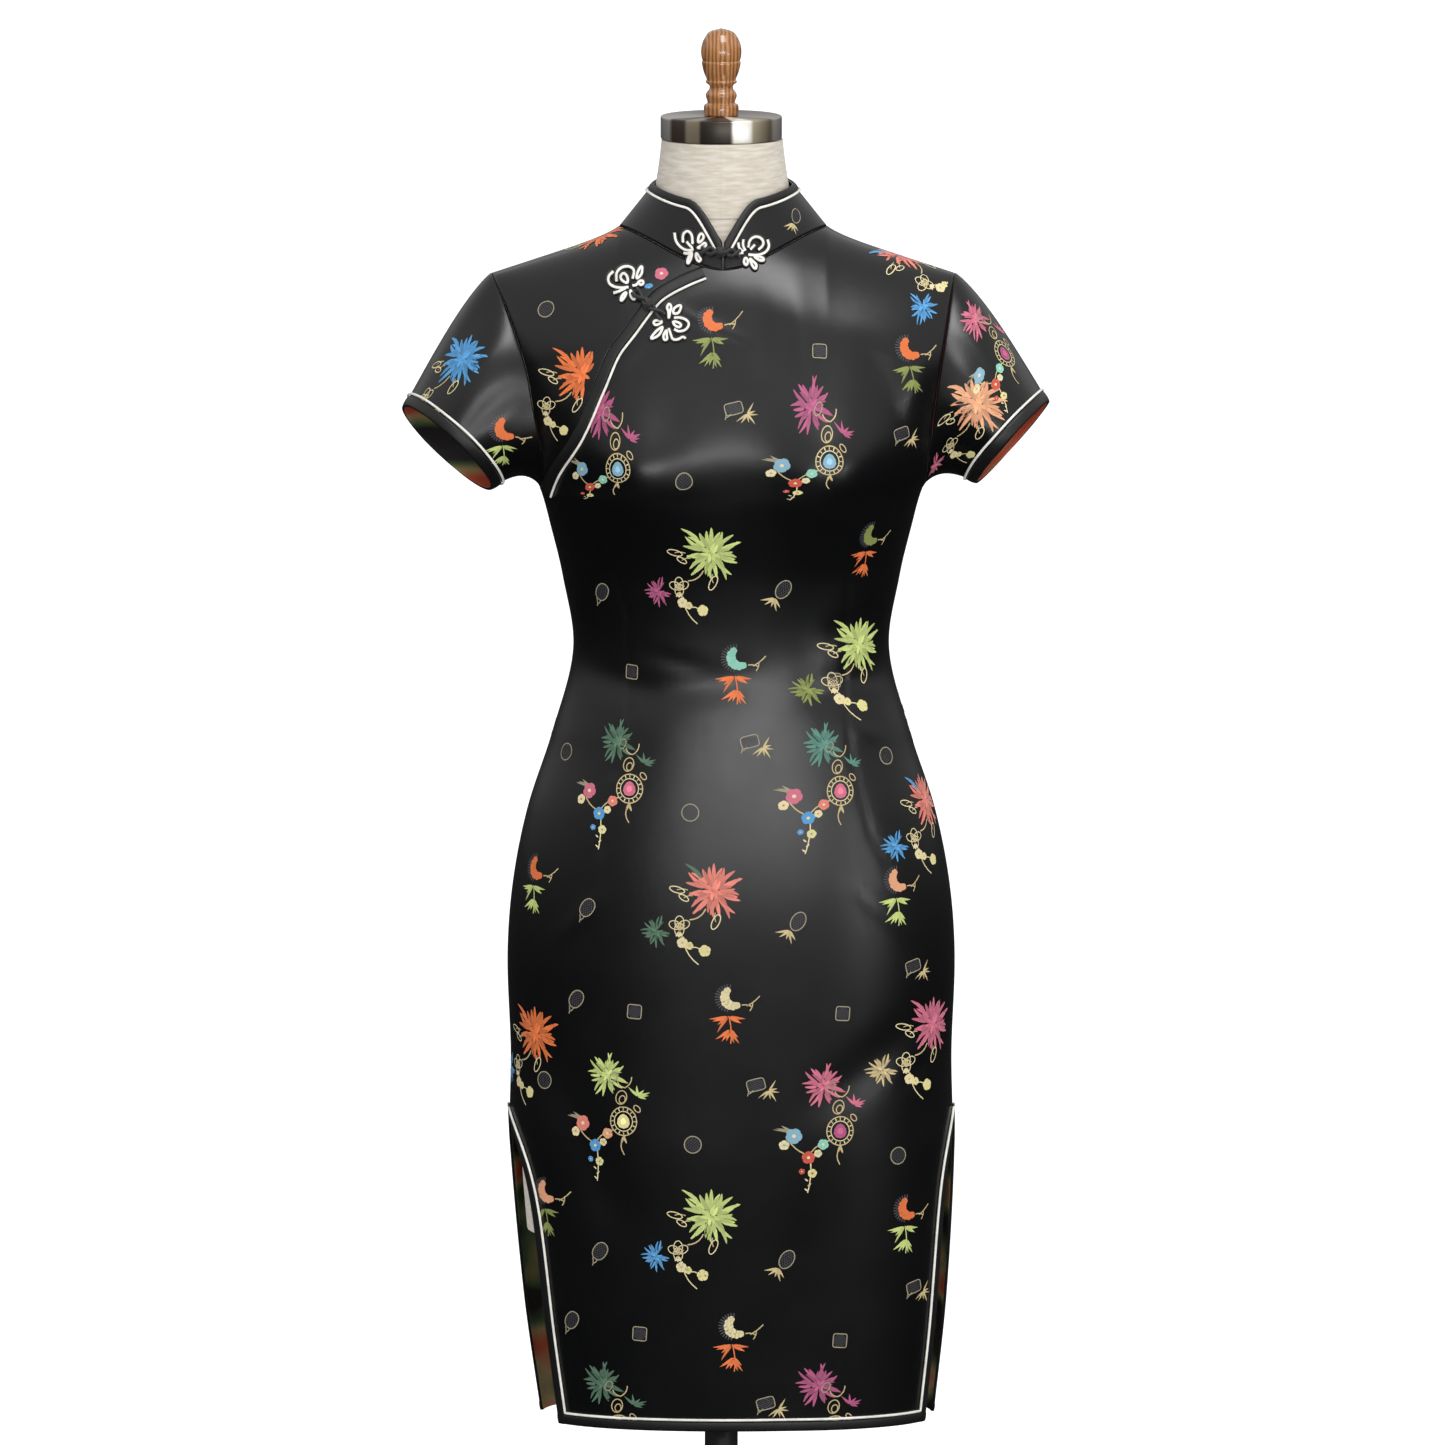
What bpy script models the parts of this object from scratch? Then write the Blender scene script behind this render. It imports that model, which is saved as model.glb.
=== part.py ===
"""A short-sleeved satin cheongsam on a limbless dress form with a pole and a round base.

Metres, +Z up. +X is the right of the picture and the front faces -Y.
The origin is the centre of the underside of the base.
"""

from collections import namedtuple
from math import asin, atan2, cos, exp, hypot, pi, radians, sin, sqrt

import bmesh
import bpy
from mathutils import Vector

FRONT, BACK = -1, 1
LEFT, RIGHT = -1, 1

# Cloth and seams
CLOTH = 0.0015
SEAM = 0.0003
ON_CLOTH = 0.0004
BINDING_WIDTH = 0.008
BINDING_THICKNESS = 0.0012
PIPING_RADIUS = 0.001
PIPING_GAP = 0.0006

# Small steps that measure the slope of a surface
STEP_ACROSS = 0.001
STEP_ALONG = 0.01

# Heights of the dress
HEM = 0.462
SLIT_TOP = 0.716
ARMPIT = 1.222

# Middle line of the dress, which hangs a little off the pole
BODY_MIDDLE = 0.0080
HEM_DRIFT = 0.0045
ROUNDNESS = 2.35

# The neck seam and the collar, as ovals round the neck
NECK_MIDDLE = 0.0015
NECK_HALF = 0.084
NECK_FRONT = 0.066
NECK_BACK = 0.058
NECK_FRONT_POWER = 1.4
NECK_BACK_POWER = 1.1
NECK_LEVEL = 1.425
COLLAR_HALF = 0.0563
COLLAR_FRONT = 0.0555
COLLAR_BACK = 0.0565
COLLAR_FRONT_HEIGHT = 1.458
COLLAR_SIDE_HEIGHT = 1.468
COLLAR_BACK_HEIGHT = 1.477
COLLAR_ROUNDING = radians(30)
COLLAR_NOTCH_DROP = 0.034
COLLAR_END = radians(1.6)
COLLAR_BINDING = 0.006

# The shoulder seam falls outwards from the neck
SHOULDER_FALL = 0.33
SHOULDER_ROOT = 1.4575
SHOULDER_FLARE = 0.0045
SHOULDER_FLARE_LENGTH = 0.013
SHOULDER_BLEND = 0.020
SHOULDER_ROUNDING = {FRONT: 0.078, BACK: 0.085}

# Bust shaping by the darts
BUST_APART = 0.086
BUST_HEIGHT = 1.236
BUST_DEPTH = 0.021
BUST_WIDTH = 0.046
BUST_TALL = 0.052

# How far round each panel reaches at the hem, in degrees from its middle
SLIT_EASE = 0.12
SLIT_REACH = {
    (FRONT, LEFT): 64.0,
    (FRONT, RIGHT): 72.0,
    (BACK, LEFT): 83.0,
    (BACK, RIGHT): 86.0,
}

# The dress form and its stand
TORSO_BOTTOM = 0.615
CAP_BOTTOM = 1.5044
CAP_TOP = 1.523
CAP_RADIUS = 0.049
POLE_RADIUS = 0.0135
BASE_RADIUS = 0.18
BASE_TOP = 0.020

# Numbers of pieces that the meshes are divided into
UPPER_ROWS = 11
LOWER_ROWS = 16
YOKE_FIRST_ROW = 2
SHOULDER_COLUMNS = 5
SLEEVE_RINGS = 4
COLLAR_ROWS = 3
NECK_STEPS_FRONT = (0, 8, 17, 27, 38, 50, 63, 76, 90)
NECK_STEPS_BACK = (90, 107, 124, 142, 161, 180)

Section = namedtuple("Section", "height half_width front back")
SECTIONS = (
    Section(0.462, 0.160, 0.090, 0.092),
    Section(0.560, 0.172, 0.097, 0.101),
    Section(0.680, 0.180, 0.104, 0.112),
    Section(0.760, 0.179, 0.106, 0.118),
    Section(0.840, 0.1815, 0.107, 0.123),
    Section(0.900, 0.177, 0.106, 0.121),
    Section(0.960, 0.165, 0.102, 0.110),
    Section(1.020, 0.1455, 0.096, 0.093),
    Section(1.090, 0.128, 0.089, 0.079),
    Section(1.150, 0.1365, 0.093, 0.082),
    Section(1.190, 0.146, 0.101, 0.089),
    Section(1.222, 0.155, 0.107, 0.096),
    Section(1.260, 0.173, 0.110, 0.103),
    Section(1.300, 0.188, 0.104, 0.107),
    Section(1.350, 0.200, 0.090, 0.102),
    Section(1.400, 0.206, 0.076, 0.086),
    Section(1.450, 0.208, 0.066, 0.066),
)

Armhole = namedtuple("Armhole", "height left right")
ARMHOLES = (
    Armhole(1.222, -0.1470, 0.1630),
    Armhole(1.236, -0.1435, 0.1660),
    Armhole(1.264, -0.1460, 0.1690),
    Armhole(1.293, -0.1515, 0.1720),
    Armhole(1.320, -0.1560, 0.1760),
    Armhole(1.345, -0.1635, 0.1800),
    Armhole(1.372, -0.1740, 0.1840),
    Armhole(1.395, -0.1850, 0.1880),
)

# Edge of the flap that crosses the chest from the armpit to the neck
Opening = namedtuple("Opening", "height across")
OPENING = (
    Opening(1.218, -0.1470),
    Opening(1.244, -0.1375),
    Opening(1.275, -0.1190),
    Opening(1.312, -0.1030),
    Opening(1.342, -0.0900),
    Opening(1.359, -0.0775),
    Opening(1.383, -0.0590),
    Opening(1.392, -0.0485),
    Opening(1.402, -0.0290),
    Opening(1.411, -0.0065),
    Opening(1.416, 0.0010),
)

# The trim of the flap ends just under the neck seam
OPENING_END = 1.955

# Broad soft folds: the cloth dips along a slanting line
Fold = namedtuple("Fold", "panel x z lean length width depth")
FOLDS = (
    Fold(FRONT, 0.108, 1.070, 78, 0.080, 0.014, 0.0026),
    Fold(FRONT, 0.118, 1.120, 70, 0.070, 0.013, 0.0022),
    Fold(FRONT, -0.095, 1.075, -76, 0.075, 0.014, 0.0022),
    Fold(FRONT, -0.020, 1.070, 80, 0.100, 0.015, 0.0016),
    Fold(FRONT, 0.125, 0.765, 52, 0.120, 0.018, 0.0026),
    Fold(FRONT, -0.110, 0.700, -20, 0.160, 0.020, 0.0030),
    Fold(FRONT, 0.060, 0.560, 6, 0.200, 0.028, 0.0026),
    Fold(FRONT, -0.120, 1.275, 30, 0.090, 0.014, 0.0024),
    Fold(FRONT, 0.135, 1.300, -22, 0.100, 0.014, 0.0024),
    Fold(BACK, 0.060, 1.075, 78, 0.110, 0.015, 0.0026),
    Fold(BACK, -0.050, 1.105, -80, 0.120, 0.015, 0.0024),
    Fold(BACK, -0.100, 0.720, 18, 0.180, 0.022, 0.0030),
    Fold(BACK, 0.090, 0.640, -14, 0.200, 0.024, 0.0030),
    Fold(BACK, 0.110, 1.290, 24, 0.110, 0.016, 0.0026),
    Fold(BACK, -0.105, 1.300, -22, 0.110, 0.016, 0.0026),
)

# Sleeve hems: their highest and lowest points and how far they turn forward
Sleeve = namedtuple("Sleeve", "top_x top_z bottom_x bottom_z half_depth forward turn")
SLEEVES = {
    LEFT: Sleeve(-0.2560, 1.2885, -0.1870, 1.2215, 0.057, 0.016, 14),
    RIGHT: Sleeve(0.2640, 1.2917, 0.2070, 1.2262, 0.057, 0.010, 8),
}
SLEEVE_LIFT = 0.009

# The dress rests on the form along the shoulder seams
SHOULDER_ROOM = 0.0012
RIDGE_WIDTH = 0.022

# Linen neck of the form above the neck seam
NECK_RIM_SHRINK = 0.955
Neck = namedtuple("Neck", "height half_width half_depth")
NECK = (
    Neck(1.4440, 0.0590, 0.0530),
    Neck(1.4560, 0.0545, 0.0518),
    Neck(1.4700, 0.0528, 0.0512),
    Neck(1.4870, 0.0503, 0.0498),
    Neck(1.5041, 0.0484, 0.0484),
)

# Room between the inside of the cloth and the form
Room = namedtuple("Room", "height room")
ROOMS = (
    Room(0.600, 0.0075),
    Room(0.900, 0.0060),
    Room(1.090, 0.0045),
    Room(1.200, 0.0036),
    Room(1.300, 0.0032),
    Room(1.430, 0.0030),
)

# Cord flowers: where they lie, their size and how they are turned
Flower = namedtuple("Flower", "name x z radius turn lift")
FLOWERS = (
    Flower("flower_neck_left", -0.0215, 1.4225, 0.0145, 20, 0.0030),
    Flower("flower_neck_right", 0.0215, 1.4190, 0.0140, -15, 0.0019),
    Flower("flower_chest_left", -0.0740, 1.3935, 0.0150, 10, 0.0010),
    Flower("flower_chest_right", -0.0440, 1.3660, 0.0155, 0, 0.0030),
)
FLOWER_PETALS = 7
FLOWER_POINTS = 28
FLOWER_THICKNESS = 0.0022
KNOT_RADIUS = 0.0015
KNOT_SWING = 0.0015
KNOT_SWING_SHARE = 0.09


def clear_scene():
    """Remove whatever the scene holds, so the file starts empty."""
    for thing in list(bpy.data.objects):
        bpy.data.objects.remove(thing, do_unlink=True)


def read(table, column, height):
    """Read one column of a table at a height, on a smooth curve through its rows."""
    heights = [row.height for row in table]
    values = [getattr(row, column) for row in table]
    height = min(max(height, heights[0]), heights[-1])
    upper = next(i for i in range(1, len(heights)) if height <= heights[i])
    lower = upper - 1
    span = heights[upper] - heights[lower]

    def slope(index):
        before = max(index - 1, 0)
        after = min(index + 1, len(heights) - 1)
        return (values[after] - values[before]) / (heights[after] - heights[before])

    part = (height - heights[lower]) / span
    rise = values[upper] - values[lower]
    start = slope(lower) * span
    end = slope(upper) * span
    return (
        values[lower]
        + start * part
        + (3 * rise - 2 * start - end) * part**2
        + (start + end - 2 * rise) * part**3
    )


def mix(first, second, part):
    """Go from one number or point to another."""
    return first * (1 - part) + second * part


def ridge_height(x):
    """Height of the shoulder line above x, which runs on inside the neck opening."""
    outward = abs(x - NECK_MIDDLE)
    flare = SHOULDER_FLARE * exp(-max(0.0, outward - NECK_HALF) / SHOULDER_FLARE_LENGTH)
    return SHOULDER_ROOT - SHOULDER_FALL * hypot(outward, SHOULDER_BLEND) + flare


def top_height(panel, x):
    """Height above x of the shoulder seam, or of the neck oval laid on the cloth."""
    ratio = abs(x - NECK_MIDDLE) / NECK_HALF
    if ratio >= 1:
        return ridge_height(x)
    forward = sqrt(1 - ratio * ratio)
    reach = NECK_FRONT * forward**NECK_FRONT_POWER
    if panel == BACK:
        reach = NECK_BACK * forward**NECK_BACK_POWER
    share = min(1.0, reach / full_depth(panel, x, NECK_LEVEL))
    return ridge_height(x) - SHOULDER_ROUNDING[panel] * (1 - sqrt(1 - share * share))


def body_middle(z):
    """Middle of the dress at a height: it drifts sideways towards the hem."""
    drop = max(0.0, SLIT_TOP - z) / (SLIT_TOP - HEM)
    return BODY_MIDDLE + HEM_DRIFT * drop


def fold_depth(panel, x, z):
    """How far the broad folds sink the cloth at a point."""
    sink = 0.0
    for fold in FOLDS:
        if fold.panel != panel:
            continue
        lean = radians(fold.lean)
        along = (x - fold.x) * sin(lean) + (z - fold.z) * cos(lean)
        aside = (x - fold.x) * cos(lean) - (z - fold.z) * sin(lean)
        ends = exp(-((2 * along / fold.length) ** 4))
        sink += fold.depth * ends * exp(-((aside / fold.width) ** 2))
    return sink


def full_depth(panel, x, z):
    """Depth of the dress at a point of its front or back view, under the shoulders."""
    middle = body_middle(z)
    if z > ARMPIT:
        left = read(ARMHOLES, "left", z)
        right = read(ARMHOLES, "right", z)
        middle = (left + right) / 2
    column = "front" if panel == FRONT else "back"
    half_width = read(SECTIONS, "half_width", z)
    ratio = min(1.0, abs(x - middle) / half_width)
    depth = read(SECTIONS, column, z) * (1 - ratio**ROUNDNESS) ** (1 / ROUNDNESS)
    if panel == FRONT:
        inward = 1 - ratio**4
        for side in (LEFT, RIGHT):
            sideways = (x - middle - side * BUST_APART) / BUST_WIDTH
            upward = (z - BUST_HEIGHT) / BUST_TALL
            depth += BUST_DEPTH * inward * exp(-(sideways**2) - upward**2)
    return depth - fold_depth(panel, x, z) * (1 - ratio**6)


def cloth_depth(panel, x, z):
    """Depth of the dress surface, drawn in to the shoulder line at its top."""
    depth = full_depth(panel, x, z)
    below = max(0.0, ridge_height(x) - z) / SHOULDER_ROUNDING[panel]
    if below < 1:
        depth *= sqrt(1 - (1 - below) ** 2)
    return depth


def shoulder_x(across):
    """Where a column of a panel ends at the shoulder seam or the neck seam."""
    last = ARMHOLES[-1]
    return mix(last.left, last.right, (across + 1) / 2)


def panel_point(panel, across, rise):
    """A point of the dress surface.

    across runs from -1 at the left seam to 1 at the right seam. rise runs from 0 at
    the hem to 1 at the armpit and 2 at the shoulder seam or the neck seam.
    """
    if rise <= 1:
        z = mix(HEM, ARMPIT, rise)
        x = body_middle(z) + read(SECTIONS, "half_width", z) * sin(across * pi / 2)
    else:
        part = (1 - cos((rise - 1) * pi)) / 2
        edge = mix(ARMPIT, ARMHOLES[-1].height, part)
        left = read(ARMHOLES, "left", edge)
        right = read(ARMHOLES, "right", edge)
        spread = mix(sin(across * pi / 2), across, min(1.0, 2 * (rise - 1)))
        x = mix(left, right, (spread + 1) / 2)
        z = mix(ARMPIT, top_height(panel, shoulder_x(across)), part)
    depth = max(cloth_depth(panel, x, z), SEAM / 2)
    return Vector((x, panel * depth, z))


def surface_normal(point, across, rise, outward):
    """Normal of a surface given by two running values, towards a rough direction."""
    here = point(across, rise)
    aside = point(across - STEP_ACROSS if across > 0 else across + STEP_ACROSS, rise)
    along = point(across, rise - STEP_ALONG if rise > STEP_ALONG else rise + STEP_ALONG)
    normal = (aside - here).cross(along - here).normalized()
    return normal if normal.dot(outward) > 0 else -normal


def panel_normal(panel, across, rise):
    """Outward normal of the dress surface."""
    here = panel_point(panel, across, rise)
    outward = Vector((here.x - BODY_MIDDLE, here.y + panel * 0.02, 0.0))
    if rise > 1.6:
        outward.z = 0.1
    return surface_normal(
        lambda a, r: panel_point(panel, a, r), across, rise, outward
    )


def slit_reach(panel, side, z):
    """Last value across a panel at a height: it draws back below the slit's top."""
    if z >= SLIT_TOP:
        return float(side)
    drop = (SLIT_TOP - z) / (SLIT_TOP - HEM)
    opened = (90.0 - SLIT_REACH[(panel, side)]) * (1 - exp(-drop / SLIT_EASE))
    return side * (90.0 - opened) / 90.0


def rise_of(z):
    """Running value of a height between the hem and the armpit."""
    return (z - HEM) / (ARMPIT - HEM)


def opening_across(rise):
    """Value across the front where the flap's edge passes a row of the panel."""
    low, high = -1.0, 1.0
    for _ in range(40):
        middle = (low + high) / 2
        place = panel_point(FRONT, middle, rise)
        if place.x < read(OPENING, "across", place.z):
            low = middle
        else:
            high = middle
    return (low + high) / 2


def upper_rises():
    """Rows above the armpit, which the armholes and the sleeves share."""
    return [1 + row / UPPER_ROWS for row in range(1, UPPER_ROWS + 1)]


def lower_rises():
    """Rows from the hem to the armpit, also at the hem's binding and the slits' top."""
    even = [row / LOWER_ROWS for row in range(LOWER_ROWS + 1)]
    return sorted(even + [rise_of(HEM + BINDING_WIDTH), rise_of(SLIT_TOP)])


def neck_across(turn):
    """Value across a panel where the neck seam has turned by so many degrees."""
    last = ARMHOLES[-1]
    x = NECK_MIDDLE + NECK_HALF * sin(radians(turn))
    return 2 * (x - last.left) / (last.right - last.left) - 1


def neck_columns(steps, count):
    """Values across a panel from the left shoulder over the neck to the right one."""
    neck = [neck_across(-turn) for turn in reversed(steps[1:])]
    neck += [neck_across(turn) for turn in steps]
    left = [mix(-1.0, neck[0], step / count) for step in range(count)]
    right = [mix(neck[-1], 1.0, (step + 1) / count) for step in range(count)]
    return left + neck + right


def shares(values):
    """Turn rising values into shares of their whole range."""
    return [(value - values[0]) / (values[-1] - values[0]) for value in values]


def front_columns():
    """Shares of the main front's width at its columns, from the flap's edge."""
    start = opening_across(2.0)
    all_columns = neck_columns(NECK_STEPS_FRONT, SHOULDER_COLUMNS)
    return shares([start] + [value for value in all_columns if value > start + 0.02])


def yoke_columns():
    """Shares of the upper chest piece's width at its columns."""
    end = opening_across(2.0)
    all_columns = neck_columns(NECK_STEPS_FRONT, SHOULDER_COLUMNS)
    return shares([value for value in all_columns if value < end - 0.02] + [end])


def back_columns():
    """Shares of the back's width at its columns."""
    steps = [180 - turn for turn in reversed(NECK_STEPS_BACK)]
    return shares(neck_columns(steps, SHOULDER_COLUMNS))


def material(name, color, roughness, metallic=0.0):
    """A plain material with one colour."""
    made = bpy.data.materials.get(name)
    if made is None:
        made = bpy.data.materials.new(name)
        made.use_nodes = True
        shader = made.node_tree.nodes["Principled BSDF"]
        shader.inputs["Base Color"].default_value = (*color, 1.0)
        shader.inputs["Roughness"].default_value = roughness
        shader.inputs["Metallic"].default_value = metallic
    return made


def satin():
    return material("black_satin", (0.012, 0.012, 0.014), 0.35)


def binding_satin():
    return material("binding_satin", (0.016, 0.016, 0.018), 0.5)


def white_cord():
    return material("white_piping", (0.78, 0.75, 0.68), 0.6)


def linen():
    return material("linen", (0.74, 0.69, 0.60), 0.9)


def add_object(name, mesh, look, group):
    """Put a mesh in the dress collection as a named piece with its material."""
    made = bpy.data.objects.new(name, mesh)
    mesh.materials.append(look)
    group.objects.link(made)
    return made


def wall(name, grid, low, high, look, group, closed=False):
    """A closed wall between two heights over a grid of points with their normals."""
    count = len(grid[0])
    upper = [point + normal * high for row in grid for point, normal in row]
    lower = [point + normal * low for row in grid for point, normal in row]
    shift = len(upper)
    faces = []
    steps = count if closed else count - 1
    for row in range(len(grid) - 1):
        for column in range(steps):
            beside = (column + 1) % count
            a = row * count + column
            b = row * count + beside
            c = (row + 1) * count + beside
            d = (row + 1) * count + column
            faces.append((a, b, c, d))
            faces.append((a + shift, d + shift, c + shift, b + shift))
    last = (len(grid) - 1) * count
    for column in range(steps):
        beside = (column + 1) % count
        faces.append((column, column + shift, beside + shift, beside))
        faces.append((last + column, last + beside, last + beside + shift, last + column + shift))
    if not closed:
        for row in range(len(grid) - 1):
            a = row * count
            b = (row + 1) * count
            faces.append((a, b, b + shift, a + shift))
            a += count - 1
            b += count - 1
            faces.append((a, a + shift, b + shift, b))
    mesh = bpy.data.meshes.new(name)
    mesh.from_pydata(upper + lower, [], faces)
    tidy = bmesh.new()
    tidy.from_mesh(mesh)
    bmesh.ops.remove_doubles(tidy, verts=tidy.verts, dist=1e-6)
    loose = [edge for edge in tidy.edges if edge.is_wire]
    bmesh.ops.delete(tidy, geom=loose, context="EDGES")
    bmesh.ops.recalc_face_normals(tidy, faces=tidy.faces)
    bmesh.ops.triangulate(tidy, faces=tidy.faces, quad_method="SHORT_EDGE")
    tidy.to_mesh(mesh)
    tidy.free()
    mesh.shade_smooth()
    return add_object(name, mesh, look, group)


def tube(name, points, radius, look, group, sides=1, cyclic=False):
    """A round cord along a list of points."""
    curve = bpy.data.curves.new(name, "CURVE")
    curve.dimensions = "3D"
    curve.bevel_depth = radius
    curve.bevel_resolution = sides
    curve.use_fill_caps = not cyclic
    spline = curve.splines.new("POLY")
    spline.points.add(len(points) - 1)
    for knot, point in zip(spline.points, points):
        knot.co = (*point, 1.0)
    spline.use_cyclic_u = cyclic
    curve.materials.append(look)
    made = bpy.data.objects.new(name, curve)
    group.objects.link(made)
    return made


def turned(name, profile, steps, look, group):
    """A turned solid from radii and heights, listed from the top down."""
    mesh = bpy.data.meshes.new(name)
    edges = [(index, index + 1) for index in range(len(profile) - 1)]
    mesh.from_pydata([(radius, 0.0, height) for radius, height in profile], edges, [])
    made = add_object(name, mesh, look, group)
    screw = made.modifiers.new("turn", "SCREW")
    screw.steps = steps
    screw.render_steps = steps
    screw.use_merge_vertices = True
    screw.merge_threshold = 0.0001
    return made


def inside_edge(panel, edge, side, rise, margin):
    """Value across a panel at a margin inside its edge, square to the edge."""
    across = edge(rise)
    here = panel_point(panel, across, rise)
    nudge = -0.02 if rise > 0.03 else 0.02
    along = (panel_point(panel, edge(rise + nudge), rise + nudge) - here).normalized()
    sideways = panel_point(panel, across - side * 0.02, rise) - here
    square = (sideways - along * sideways.dot(along)).length
    return across - side * 0.02 * margin / square


def panel_cell(panel, across, rise):
    """A point of the dress surface with its outward normal."""
    return panel_point(panel, across, rise), panel_normal(panel, across, rise)


def row_values(columns, rise):
    """Shares of a row's width: even below the armpit, drawn to the neck's columns above."""
    neck = min(1.0, max(0.0, 1.4 * (rise - 1)))
    last = len(columns) - 1
    return [mix(step / last, share, neck) for step, share in enumerate(columns)]


def panel_row(panel, rise, left, right, columns):
    """One row of a panel, with a column where the binding of each edge ends."""
    first = inside_edge(panel, left, LEFT, rise, BINDING_WIDTH)
    last = inside_edge(panel, right, RIGHT, rise, BINDING_WIDTH)
    inner = [mix(left(rise), right(rise), part) for part in row_values(columns, rise)[1:-1]]
    inner = [min(max(across, first + 0.02), last - 0.02) for across in inner]
    values = [left(rise), first] + inner + [last, right(rise)]
    return [panel_cell(panel, across, rise) for across in values]


def panel_grid(panel, rises, left, right, columns):
    """Points and normals of a panel between its left and right edge in each row."""
    return [panel_row(panel, rise, left, right, columns) for rise in rises]


def edge_of(panel, side):
    """The side seam or slit edge of a panel as a function of its rows."""

    def edge(rise):
        return slit_reach(panel, side, mix(HEM, ARMPIT, min(rise, 1.0)))

    return edge


def flap_edge(rise):
    """Left edge of the main front: side seam below the armpit, flap edge above."""
    if rise <= 1:
        return edge_of(FRONT, LEFT)(rise)
    return opening_across(min(rise, 2.0))


def build_front(group):
    """Main front with the flap that reaches over the chest to the neck."""
    rises = lower_rises() + upper_rises()
    grid = panel_grid(FRONT, rises, flap_edge, edge_of(FRONT, RIGHT), front_columns())
    wall("front", grid, -CLOTH, 0.0, satin(), group)


def build_yoke(group):
    """Upper chest piece between the flap, the neck, the shoulder and the armhole."""
    apart = 2 * SEAM / ARMHOLES[-1].right
    grid = []
    for rise in upper_rises()[YOKE_FIRST_ROW - 1:]:
        end = opening_across(rise) - apart
        values = [mix(-1.0, end, part) for part in row_values(yoke_columns(), rise)]
        grid.append([panel_cell(FRONT, across, rise) for across in values])
    wall("front_yoke", grid, -CLOTH, 0.0, satin(), group)


def build_back(group):
    """Back panel, in one piece from the shoulders to the hem."""
    rises = lower_rises() + upper_rises()
    grid = panel_grid(BACK, rises, edge_of(BACK, LEFT), edge_of(BACK, RIGHT), back_columns())
    wall("back", grid, -CLOTH, 0.0, satin(), group)


def armhole_point(side, turn):
    """Just off the armhole seam: turn 0 is the shoulder, half a turn is the armpit."""
    panel = FRONT if turn < 0.5 else BACK
    rise = 1 + abs(1 - 2 * turn)
    edge = panel_point(panel, side, rise)
    inside = panel_point(panel, side * 0.98, rise)
    near = panel_point(panel, side, rise - 0.01 if rise > 1.5 else rise + 0.01)
    along = (near - edge).normalized()
    away = edge - inside
    away -= along * away.dot(along)
    return edge + away.normalized() * SEAM * 1.6


def sleeve_point(side, turn, along):
    """A point of a sleeve: along runs from the armhole to the sleeve's hem."""
    sleeve = SLEEVES[side]
    top = Vector((sleeve.top_x, -sleeve.forward, sleeve.top_z))
    bottom = Vector((sleeve.bottom_x, -sleeve.forward, sleeve.bottom_z))
    upward = (top - bottom) / 2
    lean = radians(sleeve.turn)
    inward = Vector((-side * upward.z, 0.0, abs(upward.x))).normalized()
    forward = (Vector((0.0, -cos(lean), 0.0)) + inward * sin(lean)) * sleeve.half_depth
    angle = 2 * pi * turn
    hem = (top + bottom) / 2 + upward * cos(angle) + forward * sin(angle)
    place = mix(armhole_point(side, turn % 1.0), hem, along)
    place.z += SLEEVE_LIFT * sin(pi * along**0.75)
    place.y += sin(angle) * -0.004 * sin(pi * along)
    return place


def sleeve_normal(side, turn, along):
    """Outward normal of a sleeve, leaning on the panel's at the armhole."""
    sleeve = SLEEVES[side]
    middle = Vector(
        (
            mix(side * 0.165, (sleeve.top_x + sleeve.bottom_x) / 2, along),
            -sleeve.forward * along,
            mix(1.31, (sleeve.top_z + sleeve.bottom_z) / 2, along),
        )
    )
    outward = sleeve_point(side, turn, along) - middle
    here = sleeve_point(side, turn, along)
    beside = sleeve_point(side, (turn + 1e-4) % 1.0, along)
    onward = sleeve_point(side, turn, along - 1e-4 if along > 0.5 else along + 1e-4)
    normal = (beside - here).cross(onward - here).normalized()
    if normal.dot(outward) < 0:
        normal = -normal
    if along == 0:
        panel = FRONT if turn < 0.5 else BACK
        normal = panel_normal(panel, side, 1 + abs(1 - 2 * turn))
    return normal


def sleeve_turns():
    """Steps round a sleeve that match the rows of the armhole."""
    return [step / (2 * UPPER_ROWS) for step in range(2 * UPPER_ROWS)]


def sleeve_row(side, margin, along=None):
    """A ring of a sleeve at a share of its length or a margin from its hem."""
    row = []
    for turn in sleeve_turns():
        place = along
        if place is None:
            length = (sleeve_point(side, turn, 1.0) - sleeve_point(side, turn, 0.0)).length
            place = 1 - margin / length
        row.append((sleeve_point(side, turn, place), sleeve_normal(side, turn, place)))
    return row


def build_sleeve(side, word, group):
    """A short sleeve with its hem binding and piping."""
    grid = [sleeve_row(side, 0.0, step / SLEEVE_RINGS) for step in range(SLEEVE_RINGS + 1)]
    wall(f"sleeve_{word}", grid, -CLOTH, 0.0, satin(), group, closed=True)
    band = [sleeve_row(side, 0.0), sleeve_row(side, BINDING_WIDTH)]
    raised = ON_CLOTH + BINDING_THICKNESS
    wall(f"sleeve_binding_{word}", band, ON_CLOTH, raised, binding_satin(), group, closed=True)
    away = BINDING_WIDTH + PIPING_RADIUS + PIPING_GAP
    lifted = ON_CLOTH + PIPING_RADIUS
    line = [point + normal * lifted for point, normal in sleeve_row(side, away)]
    tube(f"sleeve_piping_{word}", line, PIPING_RADIUS, white_cord(), group, cyclic=True)


def neck_seam_point(turn):
    """The neck seam round the neck: turn 0 is the middle of the front."""
    x = NECK_MIDDLE + NECK_HALF * sin(turn)
    panel = FRONT if cos(turn) > 0 else BACK
    height = top_height(panel, x)
    return Vector((x, panel * cloth_depth(panel, x, height), height))


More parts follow.
